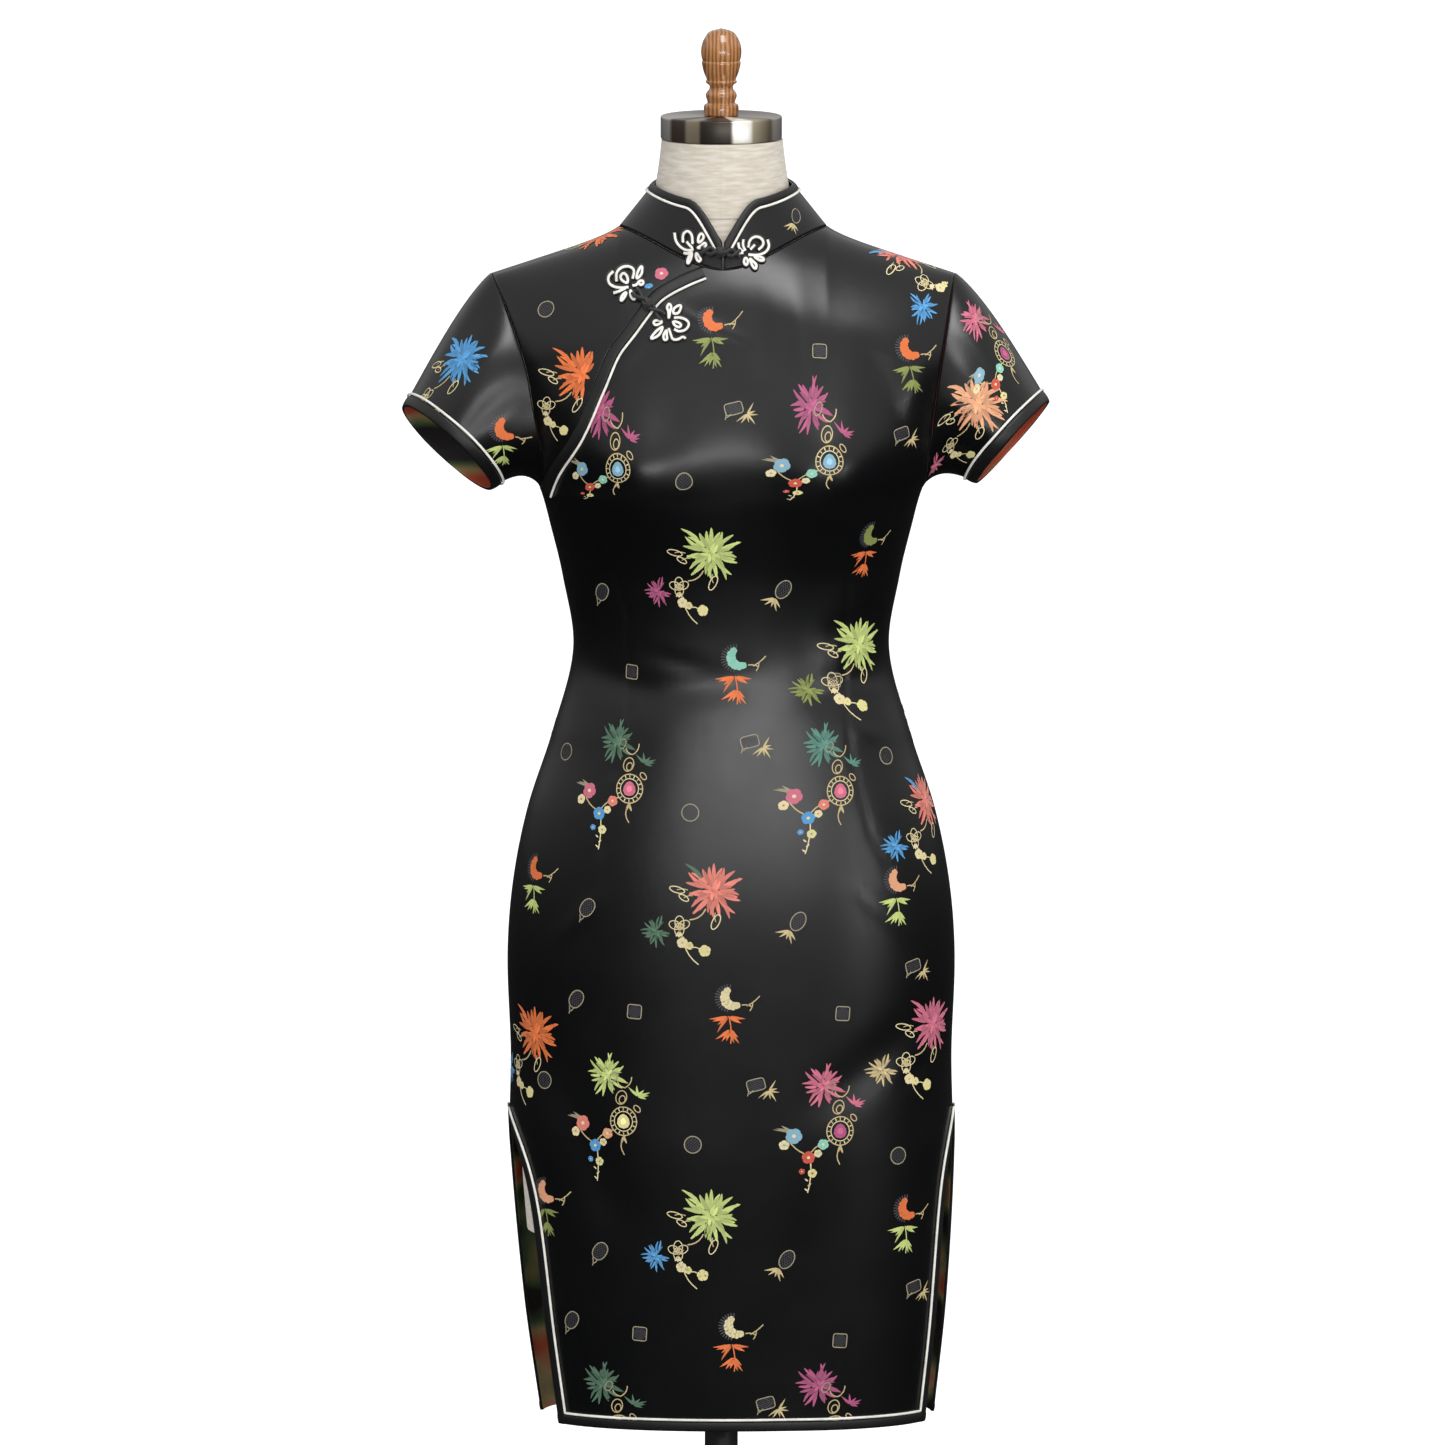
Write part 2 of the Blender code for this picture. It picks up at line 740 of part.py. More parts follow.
def collar_top_point(turn):
    """The line that the collar's upper edge follows before its ends are rounded."""
    forward = cos(turn)
    reach = COLLAR_FRONT if forward > 0 else COLLAR_BACK
    end = COLLAR_FRONT_HEIGHT if forward > 0 else COLLAR_BACK_HEIGHT
    height = mix(COLLAR_SIDE_HEIGHT, end, forward**2)
    return Vector((NECK_MIDDLE + COLLAR_HALF * sin(turn), -reach * forward, height))


def collar_share(turn, margin):
    """Share of the collar's height that is left below its rounded edge."""
    away = min(turn, 2 * pi - turn)
    full = (collar_top_point(turn) - neck_seam_point(turn)).length
    left = max(0.0, 1 - away / COLLAR_ROUNDING)
    steepness = 2 * COLLAR_NOTCH_DROP * left / (COLLAR_ROUNDING * NECK_FRONT)
    drop = COLLAR_NOTCH_DROP * left**2 + margin * hypot(1.0, steepness)
    return max(0.03, 1 - drop / full)


def collar_point(turn, share):
    """A point of the collar between the neck seam and its upper edge."""
    low = neck_seam_point(turn)
    high = collar_top_point(turn)
    lift = (high - low).normalized() * SEAM * 2.5
    return mix(low + lift, high, share)


def collar_cell(turn, share):
    """A point of the collar with its outward normal."""
    here = collar_point(turn, share)
    outward = Vector((here.x - NECK_MIDDLE, here.y, 0.0))
    return here, surface_normal(collar_point, turn, share, outward)


def collar_turns():
    """Steps round the collar that match the columns of the neck seam."""
    half = [COLLAR_END] + [radians(turn) for turn in NECK_STEPS_FRONT[1:]]
    half += [radians(turn) for turn in NECK_STEPS_BACK[1:]]
    return half + [2 * pi - turn for turn in reversed(half[:-1])]


def build_collar(group):
    """Standing collar with rounded ends, its binding and its piping."""
    turns = collar_turns()
    band = [
        [collar_cell(t, collar_share(t, 0.0)) for t in turns],
        [collar_cell(t, collar_share(t, COLLAR_BINDING)) for t in turns],
    ]
    grid = []
    for level in range(COLLAR_ROWS):
        part = level / COLLAR_ROWS
        grid.append([collar_cell(t, collar_share(t, COLLAR_BINDING) * part) for t in turns])
    wall("collar", grid + [band[1], band[0]], -CLOTH, 0.0, satin(), group)
    raised = ON_CLOTH + BINDING_THICKNESS
    wall("collar_binding", band, ON_CLOTH, raised, binding_satin(), group)
    away = COLLAR_BINDING + PIPING_RADIUS + PIPING_GAP
    line = []
    for t in turns:
        place, normal = collar_cell(t, collar_share(t, away))
        line.append(place + normal * (ON_CLOTH + PIPING_RADIUS))
    tube("collar_piping", line[1:-1], PIPING_RADIUS, white_cord(), group)


def hem_path(panel, margin):
    """The slit edges and the hem of a panel, a margin inside its edge."""
    columns = front_columns() if panel == FRONT else back_columns()
    low = rise_of(HEM + margin)
    sides = [rise for rise in lower_rises() if rise_of(HEM + 0.02) < rise <= rise_of(SLIT_TOP)]
    left = edge_of(panel, LEFT)
    right = edge_of(panel, RIGHT)

    def edge_cell(edge, side, rise):
        return panel_cell(panel, inside_edge(panel, edge, side, rise, margin), rise)

    path = [edge_cell(left, LEFT, rise) for rise in reversed(sides)]
    path.append(edge_cell(left, LEFT, low))
    skip = 1 if margin <= BINDING_WIDTH else 2
    path += panel_row(panel, low, left, right, columns)[skip:-skip]
    path.append(edge_cell(right, RIGHT, low))
    path += [edge_cell(right, RIGHT, rise) for rise in sides]
    return path


def build_hem_trim(panel, word, group):
    """Binding and piping that run down one slit, along the hem and up the other."""
    band = [hem_path(panel, 0.0), hem_path(panel, BINDING_WIDTH)]
    raised = ON_CLOTH + BINDING_THICKNESS
    wall(f"{word}_hem_binding", band, ON_CLOTH, raised, binding_satin(), group)
    line = []
    for place, normal in hem_path(panel, BINDING_WIDTH + PIPING_RADIUS + PIPING_GAP):
        line.append(place + normal * (ON_CLOTH + PIPING_RADIUS))
    tube(f"{word}_hem_piping", line, PIPING_RADIUS, white_cord(), group)


def opening_row(margin):
    """A line along the flap's edge, a margin inside it."""
    row = []
    for rise in upper_rises()[:-1] + [OPENING_END]:
        row.append(panel_cell(FRONT, inside_edge(FRONT, flap_edge, LEFT, rise, margin), rise))
    return row


def build_opening_trim(group):
    """Binding and piping along the flap that crosses the chest."""
    band = [opening_row(0.0), opening_row(BINDING_WIDTH)]
    raised = ON_CLOTH + BINDING_THICKNESS
    wall("opening_binding", band, ON_CLOTH, raised, binding_satin(), group)
    line = []
    for place, normal in opening_row(BINDING_WIDTH + PIPING_RADIUS + PIPING_GAP):
        line.append(place + normal * (ON_CLOTH + PIPING_RADIUS))
    tube("opening_piping", line, PIPING_RADIUS, white_cord(), group)


def collar_depth(x, z):
    """Depth of the collar's front at a point of the front view, 0 off the collar."""
    share = 0.5
    for _ in range(12):
        half = mix(NECK_HALF, COLLAR_HALF, share)
        turn = asin(min(1.0, abs(x - NECK_MIDDLE) / half))
        low = neck_seam_point(turn)
        high = collar_top_point(turn)
        share = min(1.0, max(0.0, (z - low.z) / (high.z - low.z)))
    return -mix(low, high, share).y


def trim_depth(x, z):
    """Depth of the front under a flower, on the collar or on the chest."""
    if z > top_height(FRONT, x):
        return collar_depth(x, z)
    return cloth_depth(FRONT, x, z)


def build_flower(flower, group):
    """A flower of cord, made as one solid of its petals."""
    grid = []
    for share in (0.0, 0.5, 1.0):
        row = []
        for step in range(FLOWER_POINTS):
            angle = 2 * pi * step / FLOWER_POINTS
            wave = abs(cos(angle * FLOWER_PETALS / 2)) ** 0.7
            reach = flower.radius * share * mix(1.0, 0.62 + 0.38 * wave, share)
            turned_by = angle + radians(flower.turn)
            x = flower.x + reach * sin(turned_by)
            z = flower.z + reach * cos(turned_by)
            row.append((Vector((x, -trim_depth(x, z), z)), Vector((0.0, -1.0, 0.0))))
        grid.append(row)
    top = flower.lift + FLOWER_THICKNESS
    wall(flower.name, grid, flower.lift, top, white_cord(), group, closed=True)


def build_knot(name, first, last, group):
    """The black cord with its knot that holds two flowers together."""
    start = Vector((first.x, 0.0, first.z))
    end = Vector((last.x, 0.0, last.z))
    reach = (end - start).normalized()
    start += reach * (first.radius + KNOT_RADIUS)
    end -= reach * (last.radius + KNOT_RADIUS)
    lift = last.lift + KNOT_RADIUS
    aside = Vector((-reach.z, 0.0, reach.x))
    swing = min(KNOT_SWING, KNOT_SWING_SHARE * (end - start).length)
    points = []
    for step in range(13):
        part = step / 12
        place = mix(start, end, part) + aside * swing * sin(2 * pi * part)
        place.y = -trim_depth(place.x, place.z) - lift
        points.append(place)
    tube(name, points, KNOT_RADIUS, binding_satin(), group, sides=2)


def torso_room(place):
    """Room between the cloth and the form: least along the shoulder seams."""
    room = read(ROOMS, "room", place.z)
    if place.z < ARMHOLES[-3].height:
        return room
    return mix(SHOULDER_ROOM, room, min(1.0, abs(place.y) / RIDGE_WIDTH))


def torso_half(shape, panel):
    """Front or back half of the form's body, just inside the cloth."""
    rises = [rise_of(TORSO_BOTTOM)]
    rises += [rise for rise in lower_rises() if rise > rises[0] + 0.01]
    rises += upper_rises()
    columns = back_columns()
    if panel == FRONT:
        columns = shares(neck_columns(NECK_STEPS_FRONT, SHOULDER_COLUMNS))
    rows = []
    for rise in rises:
        row = []
        for part in row_values(columns, rise):
            place, normal = panel_cell(panel, mix(-1.0, 1.0, part), rise)
            place -= normal * (CLOTH + torso_room(place))
            row.append(shape.verts.new(place))
        rows.append(row)
    for lower, upper in zip(rows, rows[1:]):
        for column in range(len(columns) - 1):
            corners = (lower[column], lower[column + 1], upper[column + 1], upper[column])
            shape.faces.new(corners)


def neck_oval(shape, edges, neck):
    """Draw an open rim up and inwards to the next oval of the neck."""
    grown = bmesh.ops.extrude_edge_only(shape, edges=edges)["geom"]
    for vert in (part for part in grown if isinstance(part, bmesh.types.BMVert)):
        turn = atan2((vert.co.x - NECK_MIDDLE) / NECK_HALF, -vert.co.y / NECK_FRONT)
        vert.co.x = NECK_MIDDLE * 0.5 + neck.half_width * sin(turn)
        vert.co.y = -neck.half_depth * cos(turn)
        vert.co.z = neck.height
    return [part for part in grown if isinstance(part, bmesh.types.BMEdge)]


def build_torso(group):
    """Linen body and neck of the form, closed at the arms, the top and the bottom."""
    shape = bmesh.new()
    torso_half(shape, FRONT)
    torso_half(shape, BACK)
    bmesh.ops.remove_doubles(shape, verts=shape.verts, dist=0.0012)
    rim = []
    for edge in shape.edges:
        middle = (edge.verts[0].co + edge.verts[1].co) / 2
        outward = hypot(middle.x - NECK_MIDDLE, middle.y)
        if edge.is_boundary and middle.z > 1.40 and outward < NECK_HALF + 0.004:
            rim.append(edge)
    for vert in {vert for edge in rim for vert in edge.verts}:
        vert.co.x = NECK_MIDDLE + (vert.co.x - NECK_MIDDLE) * NECK_RIM_SHRINK
        vert.co.y *= NECK_RIM_SHRINK
    for neck in NECK:
        rim = neck_oval(shape, rim, neck)
    bmesh.ops.holes_fill(shape, edges=[e for e in shape.edges if e.is_boundary], sides=0)
    bmesh.ops.recalc_face_normals(shape, faces=shape.faces)
    mesh = bpy.data.meshes.new("form_torso")
    shape.to_mesh(mesh)
    shape.free()
    mesh.shade_smooth()
    add_object("form_torso", mesh, linen(), group)


def build_stand(group):
    """Metal neck cap, turned wooden finial, pole and round base."""
    bronze = material("brushed_bronze", (0.42, 0.36, 0.30), 0.35, 1.0)
    wood = material("varnished_wood", (0.30, 0.13, 0.045), 0.3)
    black = material("black_metal", (0.02, 0.02, 0.02), 0.4, 0.6)
    cap = (
        (0.0, CAP_TOP),
        (CAP_RADIUS - 0.0015, CAP_TOP),
        (CAP_RADIUS, CAP_TOP - 0.0015),
        (CAP_RADIUS, CAP_BOTTOM + 0.0008),
        (CAP_RADIUS - 0.0008, CAP_BOTTOM),
        (0.0, CAP_BOTTOM),
    )
    turned("form_cap", cap, 40, bronze, group)
    foot = CAP_TOP + SEAM
    finial = (
        (0.0, foot + 0.0705),
        (0.0075, foot + 0.0690),
        (0.0128, foot + 0.0640),
        (0.0158, foot + 0.0560),
        (0.0163, foot + 0.0500),
        (0.0152, foot + 0.0460),
        (0.0157, foot + 0.0440),
        (0.0140, foot + 0.0345),
        (0.0118, foot + 0.0290),
        (0.0126, foot + 0.0275),
        (0.0098, foot + 0.0245),
        (0.0096, foot + 0.0215),
        (0.0120, foot + 0.0180),
        (0.0123, foot + 0.0140),
        (0.0108, foot + 0.0105),
        (0.0136, foot + 0.0085),
        (0.0139, foot + 0.0010),
        (0.0134, foot),
        (0.0, foot),
    )
    turned("form_finial", finial, 20, wood, group)
    pole = (
        (0.0, TORSO_BOTTOM - SEAM),
        (POLE_RADIUS, TORSO_BOTTOM - SEAM),
        (POLE_RADIUS, BASE_TOP + SEAM),
        (0.0, BASE_TOP + SEAM),
    )
    turned("form_pole", pole, 20, black, group)
    base = (
        (0.0, BASE_TOP),
        (0.030, BASE_TOP),
        (0.034, BASE_TOP - 0.004),
        (BASE_RADIUS - 0.020, BASE_TOP - 0.009),
        (BASE_RADIUS - 0.004, BASE_TOP - 0.012),
        (BASE_RADIUS, BASE_TOP - 0.015),
        (BASE_RADIUS, 0.0),
        (0.0, 0.0),
    )
    turned("form_base", base, 40, black, group)


def main():
    clear_scene()
    group = bpy.data.collections.new("cheongsam_on_dress_form")
    bpy.context.scene.collection.children.link(group)
    build_front(group)
    build_yoke(group)
    build_back(group)
    build_sleeve(LEFT, "left", group)
    build_sleeve(RIGHT, "right", group)
    build_collar(group)
    build_opening_trim(group)
    build_hem_trim(FRONT, "front", group)
    build_hem_trim(BACK, "back", group)
    for flower in FLOWERS:
        build_flower(flower, group)
    build_knot("knot_neck", FLOWERS[0], FLOWERS[1], group)
    build_knot("knot_chest", FLOWERS[2], FLOWERS[3], group)
    build_torso(group)
    build_stand(group)


main()
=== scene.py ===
# %% [markdown]
# # A cheongsam on a dress form
#
# A cheongsam is a fitted dress of satin brocade with a standing collar, a flap that closes
# over one side of the chest, and slits at the sides. Here it is put on a linen dress form.
# The frame holds plain solids of the right size, and each cell below makes one real surface
# over them: cloth first, then its trims, its woven pattern, and the form at the end.

# %% Start from the frame
from collections import namedtuple
from functools import partial
from math import cos, pi, radians, sin, sqrt

import bmesh
import bpy
import numpy as np
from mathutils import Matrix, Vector


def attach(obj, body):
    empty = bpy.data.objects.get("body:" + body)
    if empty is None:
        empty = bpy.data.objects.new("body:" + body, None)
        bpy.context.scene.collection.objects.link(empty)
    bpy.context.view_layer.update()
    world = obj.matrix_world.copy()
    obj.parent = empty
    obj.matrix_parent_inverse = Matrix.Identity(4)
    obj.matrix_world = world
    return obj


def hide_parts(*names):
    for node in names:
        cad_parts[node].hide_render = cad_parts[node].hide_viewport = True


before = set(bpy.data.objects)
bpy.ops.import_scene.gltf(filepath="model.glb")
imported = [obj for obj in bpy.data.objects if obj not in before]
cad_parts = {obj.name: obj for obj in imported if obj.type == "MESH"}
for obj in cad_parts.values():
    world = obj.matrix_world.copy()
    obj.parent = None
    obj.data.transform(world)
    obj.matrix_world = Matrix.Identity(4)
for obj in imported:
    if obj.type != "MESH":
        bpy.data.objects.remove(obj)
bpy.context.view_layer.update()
print("nodes in the frame:", len(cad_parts))

# %% [markdown]
# ## The camera
#
# A fashion shot is taken from far away with a long lens, so that the dress keeps its
# proportions. Sixteen metres and a lens of nearly half a metre give that flat look. The
# camera looks down a little, so the top of the neck cap shows.

# %% Camera
AIM = Vector((0.001, 0.0, 1.029))
CAMERA_TILT = radians(7.5)
CAMERA_AWAY = 16.0
LENS, SENSOR, FARTHEST = 492, 36, 500
camera_data = bpy.data.cameras.new("long_lens")
camera_data.lens = LENS
camera_data.sensor_width = SENSOR
camera_data.clip_end = FARTHEST
camera = bpy.data.objects.new("long_lens", camera_data)
bpy.context.scene.collection.objects.link(camera)
toward = Vector((0.0, -cos(CAMERA_TILT), sin(CAMERA_TILT)))
camera.location = AIM + toward * CAMERA_AWAY
camera.rotation_euler = (-toward).to_track_quat("-Z", "Y").to_euler()
bpy.context.scene.camera = camera
print("camera at", tuple(round(v, 2) for v in camera.location))

# %% [markdown]
# ## Sizes of the dress
#
# Pattern makers keep a table of body widths at fixed heights. The same kind of table drives
# the cloth here: half widths and depths of front and back, the armholes, and the edge of the
# flap. A smooth curve runs through the rows of each table.

# %% Measurements
FRONT, BACK = -1, 1
LEFT, RIGHT = -1, 1
# Cloth, seams and trims
CLOTH = 0.0013
SEAM = 0.0003
ON_CLOTH = 0.0004
BINDING_WIDTH = 0.008
BINDING_THICKNESS = 0.0012
PIPING_RADIUS = 0.001
PIPING_GAP = 0.0006
# Heights and the body's middle
HEM = 0.462
SLIT_TOP = 0.716
ARMPIT = 1.222
BODY_MIDDLE = 0.0080
HEM_DRIFT = 0.0045
ROUNDNESS = 2.35
# Neck seam and standing collar
NECK_MIDDLE = 0.0015
NECK_HALF = 0.084
NECK_FRONT = 0.066
NECK_BACK = 0.058
NECK_FRONT_POWER = 1.4
NECK_BACK_POWER = 1.1
NECK_LEVEL = 1.425
COLLAR_HALF = 0.0563
COLLAR_FRONT = 0.0555
COLLAR_BACK = 0.0565
COLLAR_FRONT_HEIGHT = 1.458
COLLAR_SIDE_HEIGHT = 1.468
COLLAR_BACK_HEIGHT = 1.477
COLLAR_ROUNDING = radians(30)
COLLAR_NOTCH_DROP = 0.034
COLLAR_END = radians(0.45)
COLLAR_BINDING = 0.006
# Shoulders
SHOULDER_FALL = 0.33
SHOULDER_ROOT = 1.4575
SHOULDER_FLARE = 0.0045
SHOULDER_FLARE_LENGTH = 0.013
SHOULDER_BLEND = 0.020
SHOULDER_ROUNDING = {FRONT: 0.078, BACK: 0.085}
# Bust
BUST_APART = 0.086
BUST_HEIGHT = 1.236
BUST_DEPTH = 0.021
BUST_WIDTH = 0.046
BUST_TALL = 0.052
# Slits, and the end of the flap
SLIT_EASE = 0.12
SLIT_REACH = {
    (FRONT, LEFT): 64.0,
    (FRONT, RIGHT): 72.0,
    (BACK, LEFT): 83.0,
    (BACK, RIGHT): 86.0,
}
OPENING_END = 1.955


def rows_of(kind, rows):
    """A table whose columns can be read by name."""
    return tuple(kind(*row) for row in rows)


Section = namedtuple("Section", "height half_width front back")
SECTIONS = rows_of(Section, (
    (0.462, 0.160, 0.090, 0.092), (0.560, 0.172, 0.097, 0.101), (0.680, 0.180, 0.104, 0.112),
    (0.760, 0.179, 0.106, 0.118), (0.840, 0.1815, 0.107, 0.123), (0.900, 0.177, 0.106, 0.121),
    (0.960, 0.165, 0.102, 0.110), (1.020, 0.1455, 0.096, 0.093), (1.090, 0.128, 0.089, 0.079),
    (1.150, 0.1365, 0.093, 0.082), (1.190, 0.146, 0.101, 0.089), (1.222, 0.155, 0.107, 0.096),
    (1.260, 0.173, 0.110, 0.103), (1.300, 0.188, 0.104, 0.107), (1.350, 0.200, 0.090, 0.102),
    (1.400, 0.206, 0.076, 0.086), (1.450, 0.208, 0.066, 0.066),
))
Armhole = namedtuple("Armhole", "height left right")
ARMHOLES = rows_of(Armhole, (
    (1.222, -0.1470, 0.1630), (1.236, -0.1435, 0.1660), (1.264, -0.1460, 0.1690),
    (1.293, -0.1515, 0.1720), (1.320, -0.1560, 0.1760), (1.345, -0.1635, 0.1800),
    (1.372, -0.1740, 0.1840), (1.395, -0.1850, 0.1880),
))
Opening = namedtuple("Opening", "height across")
OPENING = rows_of(Opening, (
    (1.218, -0.1470), (1.244, -0.1375), (1.275, -0.1190), (1.312, -0.1030), (1.342, -0.0900),
    (1.359, -0.0775), (1.383, -0.0590), (1.392, -0.0485), (1.402, -0.0290), (1.411, -0.0065),
    (1.416, 0.0010),
))
print("dress length", round(COLLAR_BACK_HEIGHT - HEM, 3), "m")

# %% Sleeves
Sleeve = namedtuple("Sleeve", "top_x top_z bottom_x bottom_z half_depth forward turn")
SLEEVES = {
    LEFT: Sleeve(-0.2560, 1.2885, -0.1870, 1.2215, 0.057, 0.016, 14),
    RIGHT: Sleeve(0.2640, 1.2917, 0.2070, 1.2262, 0.057, 0.010, 8),
}
SLEEVE_LIFT = 0.009


def read(table, column, height):
    """Read a column of a table at many heights, on a smooth curve through its rows."""
    heights = np.array([row.height for row in table])
    values = np.array([getattr(row, column) for row in table])
    before = np.maximum(np.arange(len(table)) - 1, 0)
    after = np.minimum(np.arange(len(table)) + 1, len(table) - 1)
    slopes = (values[after] - values[before]) / (heights[after] - heights[before])
    height = np.clip(height, heights[0], heights[-1])
    upper = np.clip(np.searchsorted(heights, height), 1, len(table) - 1)
    lower = upper - 1
    span = heights[upper] - heights[lower]
    part = (height - heights[lower]) / span
    rise = values[upper] - values[lower]
    start = slopes[lower] * span
    end = slopes[upper] * span
    return (
        values[lower]
        + start * part
        + (3 * rise - 2 * start - end) * part**2
        + (start + end - 2 * rise) * part**3
    )


def mix(first, second, part):
    return first * (1 - part) + second * part


print("waist half width", round(float(read(SECTIONS, "half_width", 1.09)), 3))

# %% [markdown]
# ## Folds and creases
#
# Cloth on a form is never smooth: it drags towards the waist, buckles at the darts and hangs
# in long soft waves from the hips. Each fold is a trough or a ridge along a slanting line
# that fades at both ends. Broad ones are listed by place and lean, and the small ones are
# listed by where they begin and end in the front view.

# %% Folds
Fold = namedtuple("Fold", "panel x z lean length width depth")
FOLDS = rows_of(Fold, (
    (FRONT, 0.108, 1.070, 78, 0.080, 0.014, 0.0026),
    (FRONT, 0.118, 1.120, 70, 0.070, 0.013, 0.0022),
    (FRONT, -0.095, 1.075, -76, 0.075, 0.014, 0.0022),
    (FRONT, -0.020, 1.070, 80, 0.100, 0.015, 0.0016),
    (FRONT, 0.125, 0.765, 52, 0.120, 0.018, 0.0026),
    (FRONT, -0.110, 0.700, -20, 0.160, 0.020, 0.0030),
    (FRONT, 0.060, 0.560, 6, 0.200, 0.028, 0.0026),
    (FRONT, -0.120, 1.275, 30, 0.090, 0.014, 0.0024),
    (FRONT, 0.135, 1.300, -22, 0.100, 0.014, 0.0024),
    (BACK, 0.060, 1.075, 78, 0.110, 0.015, 0.0026),
    (BACK, -0.050, 1.105, -80, 0.120, 0.015, 0.0024),
    (BACK, -0.100, 0.720, 18, 0.180, 0.022, 0.0030),
    (BACK, 0.090, 0.640, -14, 0.200, 0.024, 0.0030),
    (BACK, 0.110, 1.290, 24, 0.110, 0.016, 0.0026),
    (BACK, -0.105, 1.300, -22, 0.110, 0.016, 0.0026),
))
# Small creases: ends in the front view in metres, width and height in millimetres
Crease = namedtuple("Crease", "panel x1 z1 x2 z2 width height")
CREASES = rows_of(Crease, (
    (FRONT, 0.108, 1.172, 0.136, 1.124, 6.0, 1.3),
    (FRONT, 0.122, 1.215, 0.146, 1.180, 6.0, 1.2),
    (FRONT, 0.118, 1.115, 0.138, 1.092, 5.0, -1.4),
    (FRONT, 0.079, 1.068, 0.140, 1.061, 5.0, 1.1),
    (FRONT, 0.102, 1.036, 0.132, 1.025, 5.0, 1.0),
    (FRONT, -0.096, 1.190, -0.116, 1.142, 6.0, 1.3),
    (FRONT, -0.116, 1.142, -0.118, 1.120, 5.0, 1.0),
    (FRONT, -0.062, 1.096, -0.015, 1.086, 7.0, -0.9),
    (FRONT, 0.156, 0.775, 0.182, 0.752, 6.0, 1.3),
    (FRONT, 0.148, 0.742, 0.170, 0.766, 6.0, -1.2),
    (FRONT, -0.150, 1.000, -0.118, 1.030, 6.0, 0.9),
    (FRONT, -0.135, 0.860, -0.098, 0.900, 7.0, 0.8),
    (FRONT, 0.110, 0.905, 0.150, 0.868, 7.0, 0.9),
    (FRONT, 0.058, 1.405, 0.072, 1.305, 11.0, 1.5),
    (FRONT, 0.030, 1.395, 0.034, 1.330, 10.0, -1.0),
    (FRONT, -0.045, 1.376, 0.020, 1.350, 6.0, 1.1),
    (FRONT, -0.092, 1.318, -0.060, 1.352, 7.0, 1.0),
    (FRONT, -0.168, 1.365, -0.140, 1.300, 9.0, 1.4),
    (FRONT, 0.168, 1.350, 0.150, 1.290, 9.0, 1.4), (BACK, 0.020, 1.120, 0.110, 1.090, 7.0, 1.4),
    (BACK, -0.110, 1.060, -0.020, 1.082, 7.0, 1.3),
    (BACK, -0.060, 1.140, 0.060, 1.128, 7.0, -1.1),
    (BACK, 0.140, 1.010, 0.100, 0.960, 8.0, 1.1),
    (BACK, -0.145, 0.985, -0.105, 0.925, 8.0, 1.1),
    (BACK, -0.160, 1.360, -0.120, 1.290, 9.0, 1.5),
    (BACK, 0.160, 1.350, 0.125, 1.280, 9.0, 1.4), (BACK, 0.020, 0.800, 0.040, 0.560, 13.0, 1.6),
    (BACK, -0.060, 0.700, -0.085, 0.520, 12.0, 1.5),
))
# Darts are sewn tucks: each is a thin line drawn into the cloth, from point to point
DART_WIDTH = 2.6
DART_CHAINS = (
    (FRONT, (-0.7, -0.9, -1.0, -0.8, -0.5), (
        (-0.0895, 1.203), (-0.0850, 1.160), (-0.0750, 1.128),
        (-0.0745, 1.048), (-0.0860, 1.000), (-0.0970, 0.935),
    )),
    (FRONT, (-0.8, -1.0, -0.9, -0.7, -0.5), (
        (0.1060, 1.185), (0.1005, 1.122), (0.0995, 1.072),
        (0.1040, 1.015), (0.1200, 0.950), (0.1350, 0.922),
    )),
    (BACK, (-0.9, -0.8), ((-0.0700, 1.190), (-0.0640, 1.090), (-0.0760, 0.950))),
    (BACK, (-0.9, -0.8), ((0.0800, 1.190), (0.0760, 1.090), (0.0900, 0.950))),
)
DARTS = tuple(
    Crease(panel, *start, *end, DART_WIDTH, height)
    for panel, heights, points in DART_CHAINS
    for start, end, height in zip(points, points[1:], heights)
)


def fold_depth(panel, x, z):
    """How far folds, creases and darts sink the cloth."""
    sink = np.zeros(np.broadcast(x, z).shape)
    for fold in FOLDS:
        if fold.panel == panel:
            lean = radians(fold.lean)
            along = (x - fold.x) * sin(lean) + (z - fold.z) * cos(lean)
            aside = (x - fold.x) * cos(lean) - (z - fold.z) * sin(lean)
            ends = np.exp(-((2 * along / fold.length) ** 4))
            sink += fold.depth * ends * np.exp(-((aside / fold.width) ** 2))
    for crease in CREASES + DARTS:
        if crease.panel == panel:
            way = np.array((crease.x2 - crease.x1, crease.z2 - crease.z1))
            length = np.hypot(*way)
            share = ((x - crease.x1) * way[0] + (z - crease.z1) * way[1]) / length**2
            inside = np.clip(share, 0, 1)
            away = np.hypot(x - crease.x1 - inside * way[0], z - crease.z1 - inside * way[1])
            fade = 1.0 if crease in DARTS else 0.35 + 0.65 * np.sin(pi * inside)
            sink -= crease.height / 1000 * fade * np.exp(-((away * 1000 / crease.width) ** 2))
    return sink


print(len(FOLDS), "folds,", len(CREASES), "creases,", len(DARTS), "dart lines")

# %% [markdown]
# ## One surface for every panel
#
# All panels of the dress lie on one surface, as if it were one skin. Two running values place
# a point on it: across goes from the left seam to the right seam, and rise goes from the hem
# over the armpit to the shoulder seam. A trim, a cord or a woven flower that uses the same
# values always lies on the cloth.

# %% The dress surface


